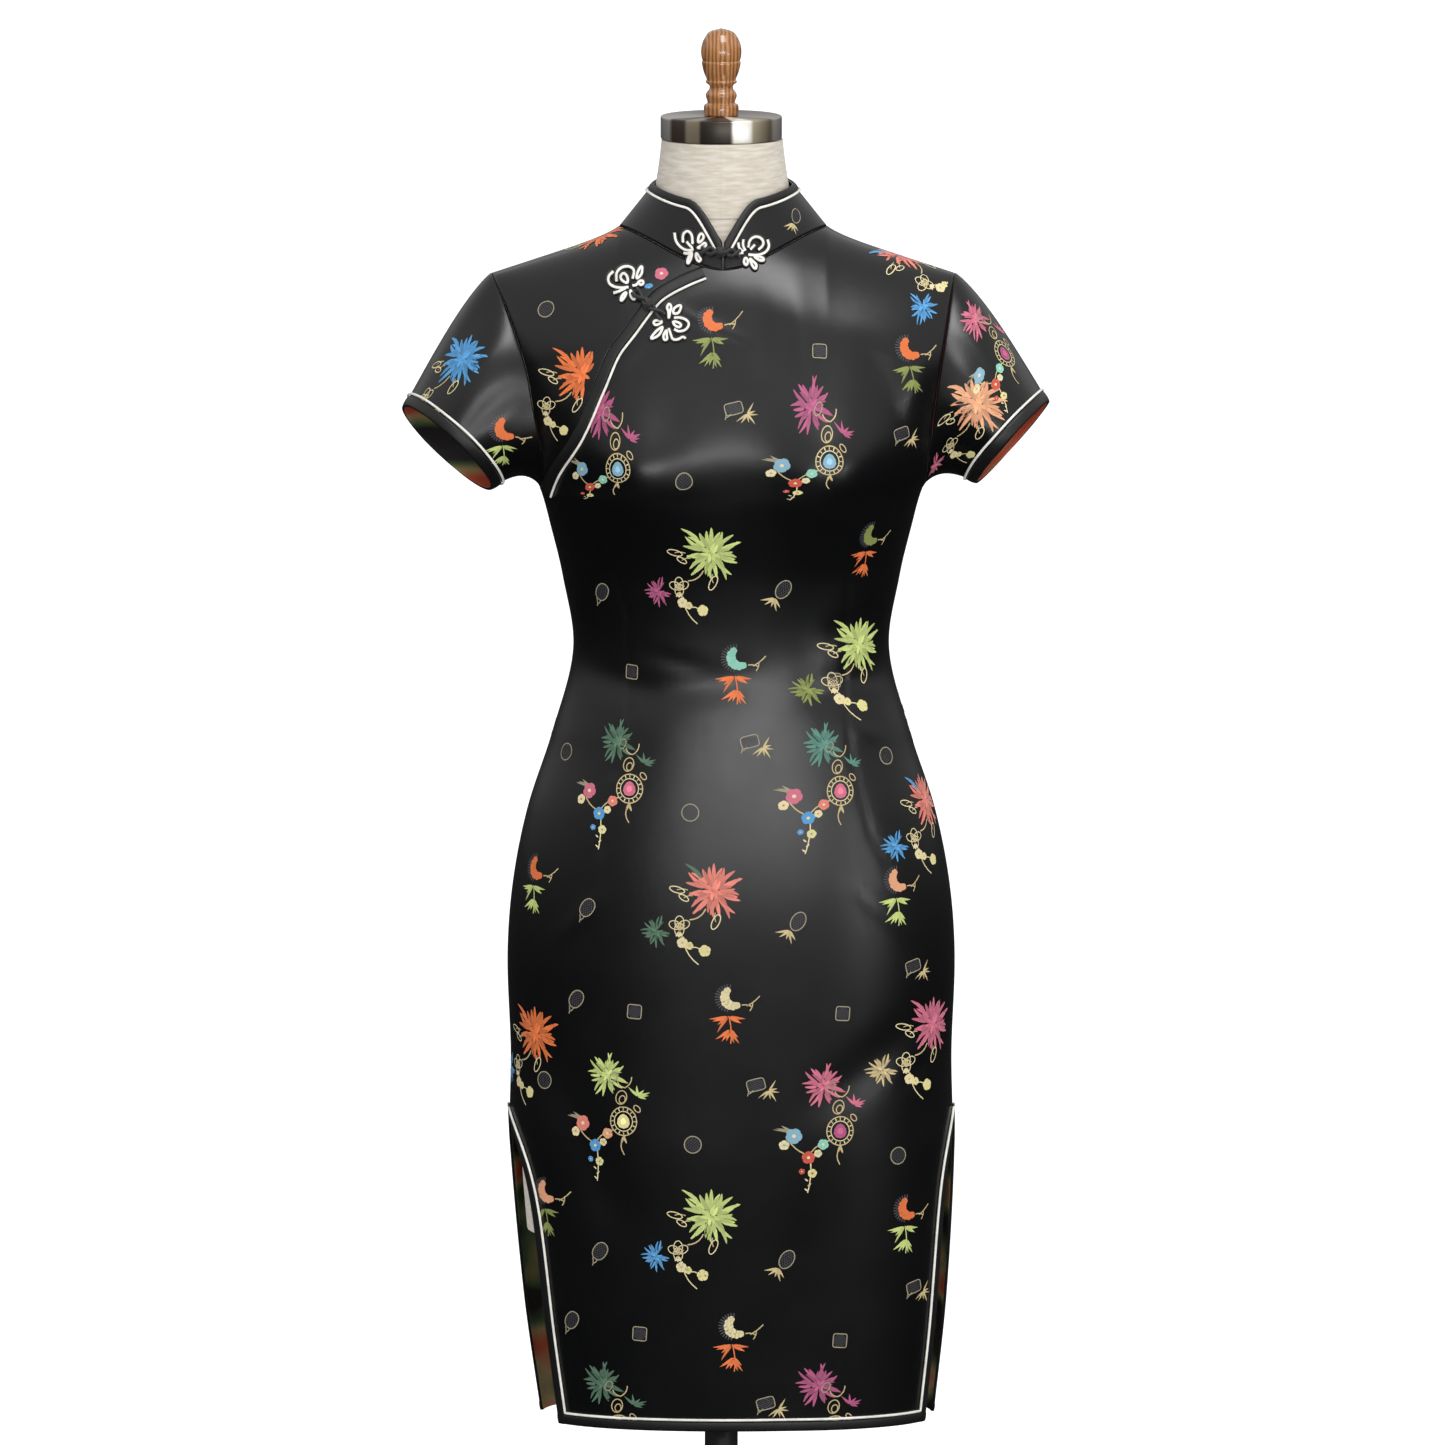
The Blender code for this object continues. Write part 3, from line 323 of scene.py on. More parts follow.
def ridge_height(x):
    """Height of the shoulder line above x."""
    outward = np.abs(x - NECK_MIDDLE)
    flare = SHOULDER_FLARE * np.exp(-np.maximum(0.0, outward - NECK_HALF) / SHOULDER_FLARE_LENGTH)
    return SHOULDER_ROOT - SHOULDER_FALL * np.hypot(outward, SHOULDER_BLEND) + flare


def body_middle(z):
    drop = np.maximum(0.0, SLIT_TOP - z) / (SLIT_TOP - HEM)
    return BODY_MIDDLE + HEM_DRIFT * drop


def full_depth(panel, x, z):
    """Depth of the dress before its top is drawn in to the shoulders."""
    armholes = (read(ARMHOLES, "left", z) + read(ARMHOLES, "right", z)) / 2
    middle = np.where(z > ARMPIT, armholes, body_middle(z))
    ratio = np.minimum(1.0, np.abs(x - middle) / read(SECTIONS, "half_width", z))
    column = "front" if panel == FRONT else "back"
    depth = read(SECTIONS, column, z) * (1 - ratio**ROUNDNESS) ** (1 / ROUNDNESS)
    if panel == FRONT:
        for side in (LEFT, RIGHT):
            sideways = (x - middle - side * BUST_APART) / BUST_WIDTH
            upward = (z - BUST_HEIGHT) / BUST_TALL
            depth = depth + BUST_DEPTH * (1 - ratio**4) * np.exp(-(sideways**2) - upward**2)
    return depth - fold_depth(panel, x, z) * (1 - ratio**6)


def cloth_depth(panel, x, z):
    below = np.clip((ridge_height(x) - z) / SHOULDER_ROUNDING[panel], 0, 1)
    return full_depth(panel, x, z) * np.sqrt(1 - (1 - below) ** 2)


def top_height(panel, x):
    """Height of the shoulder seam, or of the neck seam laid on the cloth."""
    ratio = np.minimum(1.0, np.abs(x - NECK_MIDDLE) / NECK_HALF)
    forward = np.sqrt(1 - ratio * ratio)
    if panel == FRONT:
        reach = NECK_FRONT * forward**NECK_FRONT_POWER
    else:
        reach = NECK_BACK * forward**NECK_BACK_POWER
    share = np.minimum(1.0, reach / full_depth(panel, x, np.full(np.shape(x), NECK_LEVEL)))
    return ridge_height(x) - SHOULDER_ROUNDING[panel] * (1 - np.sqrt(1 - share * share))


def panel_points(panel, across, rise):
    """Points of the dress surface for arrays of running values."""
    across, rise = np.broadcast_arrays(np.asarray(across, float), np.asarray(rise, float))
    low_z = mix(HEM, ARMPIT, np.minimum(rise, 1))
    low_x = body_middle(low_z) + read(SECTIONS, "half_width", low_z) * np.sin(across * pi / 2)
    above = np.clip(rise - 1, 0, 1)
    part = (1 - np.cos(above * pi)) / 2
    edge = mix(ARMPIT, ARMHOLES[-1].height, part)
    spread = mix(np.sin(across * pi / 2), across, np.minimum(1.0, 2 * above))
    high_x = mix(read(ARMHOLES, "left", edge), read(ARMHOLES, "right", edge), (spread + 1) / 2)
    shoulder_x = mix(ARMHOLES[-1].left, ARMHOLES[-1].right, (across + 1) / 2)
    high_z = mix(ARMPIT, top_height(panel, shoulder_x), part)
    x = np.where(rise > 1, high_x, low_x)
    z = np.where(rise > 1, high_z, low_z)
    depth = np.maximum(cloth_depth(panel, x, z), SEAM / 2)
    return np.stack([x, panel * depth, z], axis=-1)


def unit(vectors):
    return vectors / np.maximum(1e-12, np.linalg.norm(vectors, axis=-1, keepdims=True))


def normals_of(surface, first, second, outward):
    """Normals of a surface given by two running values, on the side of outward."""
    step = 2e-3
    here = surface(first, second)
    aside = surface(np.where(first > 0, first - step, first + step), second) - here
    along = surface(first, np.where(second > 0.02, second - 0.01, second + 0.01)) - here
    found = unit(np.cross(aside, along))
    facing = np.sum(found * outward, axis=-1, keepdims=True)
    return np.where(facing > 0, found, -found)


def panel_normals(panel, across, rise):
    here = panel_points(panel, across, rise)
    up = np.where(np.broadcast_to(rise, here.shape[:-1]) > 1.6, 0.1, 0.0)
    outward = np.stack([here[..., 0] - BODY_MIDDLE, here[..., 1] + panel * 0.02, up], axis=-1)
    across, rise = np.broadcast_arrays(np.asarray(across, float), np.asarray(rise, float))
    return normals_of(lambda a, r: panel_points(panel, a, r), across, rise, outward)


print("chest point", panel_points(FRONT, 0.0, 1.2).round(3))

# %% Edges of the panels


def rise_of(z):
    return (z - HEM) / (ARMPIT - HEM)


def side_edge(panel, side):
    """The side seam, which draws back below the slit's top."""

    def edge(rise):
        z = mix(HEM, ARMPIT, np.minimum(rise, 1.0))
        drop = np.maximum(0.0, SLIT_TOP - z) / (SLIT_TOP - HEM)
        opened = (90.0 - SLIT_REACH[(panel, side)]) * (1 - np.exp(-drop / SLIT_EASE))
        return side * (90.0 - opened) / 90.0

    return edge


def flap_edge(rise):
    """Left edge of the main front: side seam below the armpit, flap above it."""
    rise = np.asarray(rise, float)
    upper = np.clip(rise, 1.0, 2.0)
    low = np.full(rise.shape, -1.0)
    high = np.full(rise.shape, 1.0)
    for _ in range(36):
        middle = (low + high) / 2
        place = panel_points(FRONT, middle, upper)
        inside = place[..., 0] < read(OPENING, "across", place[..., 2])
        low = np.where(inside, middle, low)
        high = np.where(inside, high, middle)
    return np.where(rise > 1, (low + high) / 2, side_edge(FRONT, LEFT)(rise))


def inside_edge(panel, edge, side, rise, margin):
    """Value across a panel at a margin inside its edge, square to the edge."""
    rise = np.asarray(rise, float)
    across = edge(rise)
    here = panel_points(panel, across, rise)
    nudge = np.where(rise > 1.02, -0.006, np.where(rise > 0.03, -0.02, 0.02))
    along = unit(panel_points(panel, edge(rise + nudge), rise + nudge) - here)
    sideways = panel_points(panel, across - side * 0.02, rise) - here
    square = sideways - along * np.sum(sideways * along, axis=-1, keepdims=True)
    return across - side * 0.02 * margin / np.linalg.norm(square, axis=-1)


print("flap edge at the neck", float(flap_edge(np.array([2.0]))[0].round(3)))

# %% [markdown]
# ## Materials of the cloth
#
# Black satin is dark with a broad, soft sheen: its long threads lie side by side and scatter
# light like very fine brushed metal. A fine twill bump breaks the highlight, and a slow noise
# in the roughness makes it cloudy, as worn silk is. The binding is the same silk cut on the
# bias, a little duller.

# %% Helpers for materials


def add_node(tree, kind, values=(), links=()):
    """A node with some of its inputs set and some linked, each by its name or number."""
    made = tree.nodes.new(f"ShaderNode{kind}")
    for name, value in dict(values).items():
        made.inputs[name].default_value = value
    for name, source in dict(links).items():
        tree.links.new(source, made.inputs[name])
    return made


def new_material(name, color, roughness, metallic=0.0):
    """A Principled material, returned with its shader and its node tree."""
    made = bpy.data.materials.new(name)
    made.use_nodes = True
    shader = made.node_tree.nodes["Principled BSDF"]
    shader.inputs["Base Color"].default_value = (*color, 1.0)
    shader.inputs["Roughness"].default_value = roughness
    shader.inputs["Metallic"].default_value = metallic
    return made, shader, made.node_tree


def object_coords(tree, scale=(1, 1, 1), turn=(0, 0, 0)):
    """Object coordinates, scaled and turned by a Mapping node."""
    coords = add_node(tree, "TexCoord").outputs["Object"]
    mapping = add_node(tree, "Mapping", {"Scale": scale, "Rotation": turn}, {"Vector": coords})
    return mapping.outputs["Vector"]


def noise(tree, vector, scale, detail=3.0):
    made = add_node(tree, "TexNoise", {"Scale": scale, "Detail": detail}, {"Vector": vector})
    return made.outputs["Fac"]


def wave(tree, lean, scale, distortion=0.0, stretch=(1, 1, 1)):
    """Fine ribs: upright ones, leant over by an angle in degrees."""
    vector = object_coords(tree, stretch, (0.0, radians(lean), 0.0))
    values = {"Scale": scale, "Distortion": distortion}
    return add_node(tree, "TexWave", values, {"Vector": vector}).outputs["Fac"]


def spread(tree, value, low, high):
    """Map a 0 to 1 value to a range."""
    made = add_node(tree, "MapRange", {"To Min": low, "To Max": high}, {"Value": value})
    return made.outputs["Result"]


def color_ramp(tree, value, stops):
    """Colours at places between 0 and 1, read by a value."""
    ramp = add_node(tree, "ValToRGB", links={"Fac": value})
    elements = ramp.color_ramp.elements
    for end, (position, color) in enumerate((stops[0], stops[-1])):
        elements[end].position = position
        elements[end].color = (*color, 1.0)
    for position, color in stops[1:-1]:
        elements.new(position).color = (*color, 1.0)
    return ramp.outputs["Color"]


def add_bump(tree, shader, height, strength, distance):
    values = {"Strength": strength, "Distance": distance}
    bump = add_node(tree, "Bump", values, {"Height": height})
    tree.links.new(bump.outputs["Normal"], shader.inputs["Normal"])


def multiply(tree, first, second):
    made = add_node(tree, "Math", links={0: first, 1: second})
    made.operation = "MULTIPLY"
    return made.outputs["Value"]


# %% Satin, binding, reverse side and cord
COARSE_BUMP, FINE_BUMP = 0.0003, 0.0002


def make_satin(name, color, rough_low, rough_high):
    """Silk satin with a fine twill and a cloudy sheen."""
    made, shader, tree = new_material(name, color, 0.4)
    shader.inputs["Specular IOR Level"].default_value = 0.50
    shader.inputs["Sheen Weight"].default_value = 0.01
    shader.inputs["Sheen Roughness"].default_value = 0.4
    cloudy = noise(tree, object_coords(tree), 22.0, 4.0)
    tree.links.new(spread(tree, cloudy, rough_low, rough_high), shader.inputs["Roughness"])
    shade = tuple(part * 1.7 for part in color)
    streaks = noise(tree, object_coords(tree, (600, 600, 12)), 1.0, 2.0)
    streaked = color_ramp(tree, streaks, ((0.0, color), (1.0, shade)))
    tree.links.new(streaked, shader.inputs["Base Color"])
    twill = wave(tree, 24, 620.0)
    slub = noise(tree, object_coords(tree, (300, 300, 40)), 1.0, 2.0)
    add_bump(tree, shader, multiply(tree, twill, slub), 0.12, FINE_BUMP)
    return made


satin = make_satin("black_satin", (0.0018, 0.0019, 0.0023), 0.26, 0.36)
bias_satin = make_satin("bias_binding", (0.0040, 0.0040, 0.0046), 0.42, 0.55)


def make_reverse(name, shift):
    """Reverse of the brocade: bands of loose coloured threads, more with a larger shift."""
    made, shader, tree = new_material(name, (0.02, 0.02, 0.02), 0.6)
    bands = noise(tree, object_coords(tree, (6, 6, 22)), 1.0, 1.0)
    stops = (
        (0.47 - shift, (0.010, 0.010, 0.011)),
        (0.52 - shift, (0.05, 0.10, 0.035)),
        (0.59 - shift, (0.30, 0.21, 0.09)),
        (0.66 - shift, (0.42, 0.06, 0.02)),
    )
    tree.links.new(color_ramp(tree, bands, stops), shader.inputs["Base Color"])
    add_bump(tree, shader, wave(tree, 90, 420.0, 1.0), 0.5, COARSE_BUMP)
    return made


reverse = make_reverse("reverse_of_brocade", 0.0)
sleeve_reverse = make_reverse("reverse_of_sleeve", 0.22)


def make_cord(name, color):
    """Cord covered in cloth: fine ribs that run round it, slightly soiled."""
    made, shader, tree = new_material(name, color, 0.55)
    shader.inputs["Sheen Weight"].default_value = 0.15
    dark = tuple(part * 0.78 for part in color)
    soil = noise(tree, object_coords(tree), 90.0, 3.0)
    soiled = color_ramp(tree, soil, ((0.3, dark), (0.6, color)))
    tree.links.new(soiled, shader.inputs["Base Color"])
    add_bump(tree, shader, wave(tree, 35, 700.0), 0.25, FINE_BUMP)
    return made


white_cord = make_cord("white_cord", (0.83, 0.80, 0.73))
black_cord = make_cord("black_cord", (0.012, 0.012, 0.013))
print("cloth materials:", satin.name, bias_satin.name, reverse.name, white_cord.name)

# %% [markdown]
# ## Cutting the panels
#
# A panel starts as a flat grid, like cloth on the cutting table. Each vertex of the grid is
# then moved to its place on the dress surface, and Solidify gives the cloth its thickness
# inwards. The second material slot is the reverse of the brocade, where the coloured threads
# float loose, so it is set on the inner wall alone.

# %% Grid helpers
BODY_CENTER = (0.0, 0.0, 1.0)
COLLAR_CENTER = (0.0, 0.0, 1.44)
SLEEVE_CENTER = {side: (side * 0.21, -0.012, 1.275) for side in (LEFT, RIGHT)}


def add_piece(name, mesh, materials):
    """Put a mesh in the scene, riding on the frame's body."""
    made = bpy.data.objects.new(name, mesh)
    bpy.context.scene.collection.objects.link(made)
    for look in materials:
        mesh.materials.append(look)
    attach(made, "root")
    return made


def grid_mesh(name, columns, rows, place, closed=False):
    """A grid whose vertices are moved to place(share across, share along)."""
    shape = bmesh.new()
    bmesh.ops.create_grid(shape, x_segments=columns, y_segments=rows, size=1.0)
    shape.verts.ensure_lookup_table()
    flat = np.array([vert.co for vert in shape.verts])
    placed = place((flat[:, 0] + 1) / 2, (flat[:, 1] + 1) / 2)
    for vert, point in zip(shape.verts, placed):
        vert.co = point
    if closed:
        bmesh.ops.remove_doubles(shape, verts=shape.verts, dist=1e-5)
    mesh = bpy.data.meshes.new(name)
    shape.to_mesh(mesh)
    shape.free()
    mesh.shade_smooth()
    return mesh


def face_outwards(mesh, middle):
    """Turn the faces so that most of them look away from a point."""
    shape = bmesh.new()
    shape.from_mesh(mesh)
    votes = 0
    for face in list(shape.faces)[:: max(1, len(shape.faces) // 400)]:
        votes += 1 if face.normal.dot(face.calc_center_median() - Vector(middle)) > 0 else -1
    if votes < 0:
        bmesh.ops.reverse_faces(shape, faces=shape.faces)
    shape.to_mesh(mesh)
    shape.free()


def thicken(made, thickness, inner_slot=0):
    """Give a sheet its thickness, inwards from the surface."""
    wall = made.modifiers.new("thickness", "SOLIDIFY")
    wall.thickness = thickness
    wall.offset = -1.0
    wall.material_offset = inner_slot
    wall.material_offset_rim = 0
    return made


def cloth_area(made):
    """Area of one side of a sheet before it gets its thickness."""
    return sum(face.area for face in made.data.polygons)


# %% Front, upper chest and back


def level_of(rise):
    """Above the armpit a rise eases in and out; a level runs evenly with height."""
    return rise if rise <= 1 else 1 + (1 - cos((rise - 1) * pi)) / 2


def between(panel, left, right, first_rise, last_rise):
    """Place a grid with even rows between two edges of a panel."""

    def place(share_x, share_z):
        level = mix(level_of(first_rise), level_of(last_rise), share_z)
        eased = 1 + np.arccos(np.clip(3 - 2 * level, -1, 1)) / pi
        rise = np.where(level > 1, eased, level)
        return panel_points(panel, mix(left(rise), right(rise), share_x), rise)

    return place


YOKE_GAP = 2 * SEAM / ARMHOLES[-1].right
YOKE_START = 1.09


def yoke_right(rise):
    return flap_edge(rise) - YOKE_GAP


def seam_left(rise):
    return np.full(np.shape(rise), -1.0)


panels = {}
for name, panel, left, right, low, high, columns, rows in (
    ("dress_front", FRONT, flap_edge, side_edge(FRONT, RIGHT), 0.0, 2.0, 120, 320),
    ("upper_chest", FRONT, seam_left, yoke_right, YOKE_START, 2.0, 60, 110),
    ("dress_back", BACK, side_edge(BACK, LEFT), side_edge(BACK, RIGHT), 0.0, 2.0, 120, 320),
):
    mesh = grid_mesh(name, columns, rows, between(panel, left, right, low, high))
    face_outwards(mesh, BODY_CENTER)
    panels[name] = thicken(add_piece(name, mesh, [satin, reverse]), CLOTH, 1)
    print(name, "cloth area", round(cloth_area(panels[name]), 4), "m2")
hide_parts("front")
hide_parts("front_yoke")
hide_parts("back")

# %% [markdown]
# ## Sleeves
#
# A cap sleeve is a short tube between the armhole and its hem. Its rings blend from the
# armhole's curve to a leaning oval, with a lift over the shoulder and soft lengthwise waves.

# %% Sleeve surface
# Waves of a sleeve: where round it, how wide, how deep in millimetres
SleeveWave = namedtuple("SleeveWave", "side turn width depth")
SLEEVE_WAVES = rows_of(SleeveWave, (
    (LEFT, 0.10, 0.030, -2.2), (LEFT, 0.17, 0.026, 2.0), (LEFT, 0.25, 0.030, -2.4),
    (LEFT, 0.34, 0.024, 1.6), (LEFT, 0.68, 0.030, -2.0), (LEFT, 0.80, 0.030, 1.8),
    (RIGHT, 0.09, 0.028, 1.4), (RIGHT, 0.18, 0.028, -2.4), (RIGHT, 0.27, 0.028, 2.0),
    (RIGHT, 0.36, 0.024, -1.6), (RIGHT, 0.70, 0.030, -2.0), (RIGHT, 0.82, 0.030, 1.8),
))


def armhole_points(side, turn):
    """Just off the armhole seam: 0 is the shoulder, half a turn is the armpit."""
    rise = 1 + np.abs(1 - 2 * turn)
    found = []
    for panel in (FRONT, BACK):
        edge = panel_points(panel, side, rise)
        inside = panel_points(panel, side * 0.98, rise)
        near = panel_points(panel, side, np.where(rise > 1.5, rise - 0.01, rise + 0.01))
        along = unit(near - edge)
        away = edge - inside
        away = away - along * np.sum(away * along, axis=-1, keepdims=True)
        found.append(edge + unit(away) * SEAM * 1.6)
    return np.where((turn < 0.5)[..., None], found[0], found[1])


def sleeve_points(side, turn, along):
    """Points of a sleeve: along runs from the armhole to the sleeve's hem."""
    turn, along = np.broadcast_arrays(np.asarray(turn, float) % 1.0, np.asarray(along, float))
    sleeve = SLEEVES[side]
    top = np.array((sleeve.top_x, -sleeve.forward, sleeve.top_z))
    bottom = np.array((sleeve.bottom_x, -sleeve.forward, sleeve.bottom_z))
    upward = (top - bottom) / 2
    lean = radians(sleeve.turn)
    inward = unit(np.array((-side * upward[2], 0.0, abs(upward[0]))))
    forward = (np.array((0.0, -cos(lean), 0.0)) + inward * sin(lean)) * sleeve.half_depth
    angle = (2 * pi * turn)[..., None]
    hem = (top + bottom) / 2 + upward * np.cos(angle) + forward * np.sin(angle)
    place = mix(armhole_points(side, turn), hem, along[..., None])
    place[..., 2] += SLEEVE_LIFT * np.sin(pi * along**0.75)
    place[..., 1] += np.sin(2 * pi * turn) * -0.004 * np.sin(pi * along)
    deep = np.zeros(turn.shape)
    for item in SLEEVE_WAVES:
        if item.side == side:
            deep += item.depth / 1000 * np.exp(-(((turn - item.turn) / item.width) ** 2))
    deep *= np.sin(pi * np.clip(along, 0, 1)) ** 0.8
    place[..., 1] -= deep * np.where(turn < 0.5, 1.0, -1.0)
    return place


def sleeve_normals(side, turn, along):
    turn, along = np.broadcast_arrays(np.asarray(turn, float), np.asarray(along, float))
    here = sleeve_points(side, turn, along)
    beside = sleeve_points(side, turn + 1e-3, along) - here
    onward = sleeve_points(side, turn, along - 1e-3) - here
    sleeve = SLEEVES[side]
    middle = np.stack(
        [
            mix(side * 0.165, (sleeve.top_x + sleeve.bottom_x) / 2, along),
            -sleeve.forward * along,
            mix(1.31, (sleeve.top_z + sleeve.bottom_z) / 2, along),
        ],
        axis=-1,
    )
    found = unit(np.cross(beside, onward))
    facing = np.sum(found * (here - middle), axis=-1, keepdims=True)
    return np.where(facing > 0, found, -found)


for side, word in ((LEFT, "left"), (RIGHT, "right")):
    mesh = grid_mesh(
        f"sleeve_{word}_cloth", 132, 44, lambda u, v: sleeve_points(side, 0.5 + u, v), closed=True
    )
    face_outwards(mesh, SLEEVE_CENTER[side])
    made = add_piece(f"sleeve_{word}_cloth", mesh, [satin, sleeve_reverse])
    thicken(made, CLOTH, 1)
    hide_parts(f"sleeve_{word}")
    print(made.name, "cloth area", round(cloth_area(made), 4), "m2")

# %% [markdown]
# ## Collar
#
# The standing collar is a band of two layers of satin with stiffening between, so it keeps a
# smooth curve. It leans in from the neck seam to its top, and its two ends are rounded off at
# the front.

# %% Collar surface


def neck_seam_points(turn):
    x = NECK_MIDDLE + NECK_HALF * np.sin(turn)
    found = []
    for panel in (FRONT, BACK):
        height = top_height(panel, x)
        found.append(np.stack([x, panel * cloth_depth(panel, x, height), height], axis=-1))
    return np.where((np.cos(turn) > 0)[..., None], found[0], found[1])


def collar_top_points(turn):
    forward = np.cos(turn)
    reach = np.where(forward > 0, COLLAR_FRONT, COLLAR_BACK)
    end = np.where(forward > 0, COLLAR_FRONT_HEIGHT, COLLAR_BACK_HEIGHT)
    height = mix(COLLAR_SIDE_HEIGHT, end, forward**2)
    x = NECK_MIDDLE + COLLAR_HALF * np.sin(turn)
    return np.stack([x, -reach * forward, height], axis=-1)


def collar_share(turn, margin):
    """Share of the collar's height that is left below its rounded edge."""
    away = np.minimum(turn, 2 * pi - turn)
    full = np.linalg.norm(collar_top_points(turn) - neck_seam_points(turn), axis=-1)
    left = np.maximum(0.0, 1 - away / COLLAR_ROUNDING)
    steepness = 2 * COLLAR_NOTCH_DROP * left / (COLLAR_ROUNDING * NECK_FRONT)
    drop = COLLAR_NOTCH_DROP * left**2 + margin * np.hypot(1.0, steepness)
    return np.maximum(0.03, 1 - drop / full)


def collar_points(turn, share):
    low = neck_seam_points(turn)
    high = collar_top_points(turn)
    low = low + unit(high - low) * SEAM * 2.5
    return mix(low, high, share[..., None])


def collar_normals(turn, share):
    here = collar_points(turn, share)
    outward = np.stack([here[..., 0] - NECK_MIDDLE, here[..., 1], 0 * turn], axis=-1)
    return normals_of(collar_points, turn, share, outward)


def collar_turn(share):
    return mix(COLLAR_END, 2 * pi - COLLAR_END, share)


mesh = grid_mesh(
    "standing_collar",
    200,
    22,
    lambda u, v: collar_points(collar_turn(u), collar_share(collar_turn(u), 0.0) * v),
)
face_outwards(mesh, COLLAR_CENTER)
collar = thicken(add_piece("standing_collar", mesh, [satin, bias_satin]), CLOTH, 1)
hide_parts("collar")
print("collar area", round(cloth_area(collar), 4), "m2")

# %% [markdown]
# ## Bindings and piping
#
# Every free edge is bound: a strip of bias satin is folded over it, and a thin white piping
# is caught in its seam. A strip here is a narrow grid along the edge, raised most in its
# middle as folded cloth is. The piping starts as a curve with a round bevel, and is made a mesh.

# %% Strip and piping helpers
STRIP_STEPS = 7
BAND_WALL = 0.0010


def strip_mesh(name, value, points, normals, rows, closed=False):
    """A crowned band: value(along share, margin share) gives the place on the surface."""

    def place(u, v):
        crown = ON_CLOTH + BINDING_THICKNESS * np.sin(pi * np.clip(v * 0.9 + 0.05, 0, 1)) ** 0.4
        spot = value(u, v)
        return points(*spot) + normals(*spot) * crown[..., None]

    return grid_mesh(name, rows, STRIP_STEPS, place, closed)


def add_band(name, mesh):
    return thicken(add_piece(name, mesh, [bias_satin]), BAND_WALL)


def cord_mesh(name, lines, radius, cyclic=False):
    """Round cords along lists of points, as one mesh."""
    curve = bpy.data.curves.new(name, "CURVE")
    curve.dimensions = "3D"
    curve.bevel_depth = radius
    curve.bevel_resolution = 3
    curve.use_fill_caps = not cyclic
    for line in lines:
        spline = curve.splines.new("POLY")
        spline.points.add(len(line) - 1)
        for knot, point in zip(spline.points, line):
            knot.co = (*point, 1.0)
        spline.use_cyclic_u = cyclic
    drawn = bpy.data.objects.new(name, curve)
    mesh = bpy.data.meshes.new_from_object(drawn)
    bpy.data.objects.remove(drawn)
    bpy.data.curves.remove(curve)
    mesh.name = name
    mesh.shade_smooth()
    return mesh


def piping(name, line, cyclic=False):
    """White piping along a line, riding on the frame; its length is printed."""
    ends = np.vstack([line, line[:1]]) if cyclic else line
    length = np.linalg.norm(np.diff(ends, axis=0), axis=1).sum()
    print(name, "length", round(float(length), 3), "m")
    mesh = cord_mesh(name, [line], PIPING_RADIUS, cyclic)
    return add_piece(name, mesh, [white_cord])


def join_meshes(name, meshes):
    """One mesh from several."""
    shape = bmesh.new()
    for mesh in meshes:
        shape.from_mesh(mesh)
        bpy.data.meshes.remove(mesh)
    made = bpy.data.meshes.new(name)
    shape.to_mesh(made)
    shape.free()
    made.shade_smooth()
    return made


PIPING_MARGIN = BINDING_WIDTH + PIPING_RADIUS + PIPING_GAP
PIPING_LIFT = ON_CLOTH + PIPING_RADIUS

# %% Flap band
FLAP_START = 1.032


def flap_place(rise, margin):
    """Point and outward normal of the front at a margin inside the flap's edge."""
    edge = panel_points(FRONT, flap_edge(rise), rise)
    before = panel_points(FRONT, flap_edge(rise - 0.006), rise - 0.006)
    along = unit((edge - before)[..., ::2])
    x = edge[..., 0] + along[..., 1] * margin
    z = edge[..., 2] - along[..., 0] * margin
    step = 5e-4
    here = cloth_depth(FRONT, x, z)
    aside = (cloth_depth(FRONT, x + step, z) - here) / step
    upward = (cloth_depth(FRONT, x, z + step) - here) / step
    normal = unit(np.stack([-aside, np.full(x.shape, -1.0), -upward], axis=-1))
    return np.stack([x, -here, z], axis=-1), normal


mesh = strip_mesh(
    "flap_band",
    lambda u, v: (mix(FLAP_START, OPENING_END, u), BINDING_WIDTH * v),
    lambda rise, margin: flap_place(rise, margin)[0],
    lambda rise, margin: flap_place(rise, margin)[1],
    160,
)
face_outwards(mesh, BODY_CENTER)
flap_band = add_band("flap_band", mesh)
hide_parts("opening_binding")
place, normal = flap_place(np.linspace(FLAP_START, OPENING_END, 120), PIPING_MARGIN)
flap_cord = piping("flap_piping", place + normal * PIPING_LIFT)
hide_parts("opening_piping")

# %% Collar band
CORD_END = radians(4.8)


def collar_edge(turn, margin):
    """Place on the collar at a margin below its rounded edge."""
    return turn, collar_share(turn, margin)


mesh = strip_mesh(
    "collar_band",
    lambda u, v: collar_edge(collar_turn(u), COLLAR_BINDING * v),
    collar_points,
    collar_normals,
    260,
)
face_outwards(mesh, COLLAR_CENTER)
collar_band = add_band("collar_band", mesh)
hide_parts("collar_binding")
turns = np.linspace(CORD_END, 2 * pi - CORD_END, 240)
spot = collar_edge(turns, COLLAR_BINDING + PIPING_RADIUS + PIPING_GAP)
line = collar_points(*spot) + collar_normals(*spot) * PIPING_LIFT
collar_cord = piping("collar_edge_piping", line)
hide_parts("collar_piping")

# %% Sleeve bands


def sleeve_edge(side, turn, margin):
    """Place on a sleeve at a margin from its hem."""
    hem = sleeve_points(side, turn, np.ones_like(turn))
    length = np.linalg.norm(hem - sleeve_points(side, turn, 0 * turn), axis=-1)
    return side, turn, 1 - margin / length


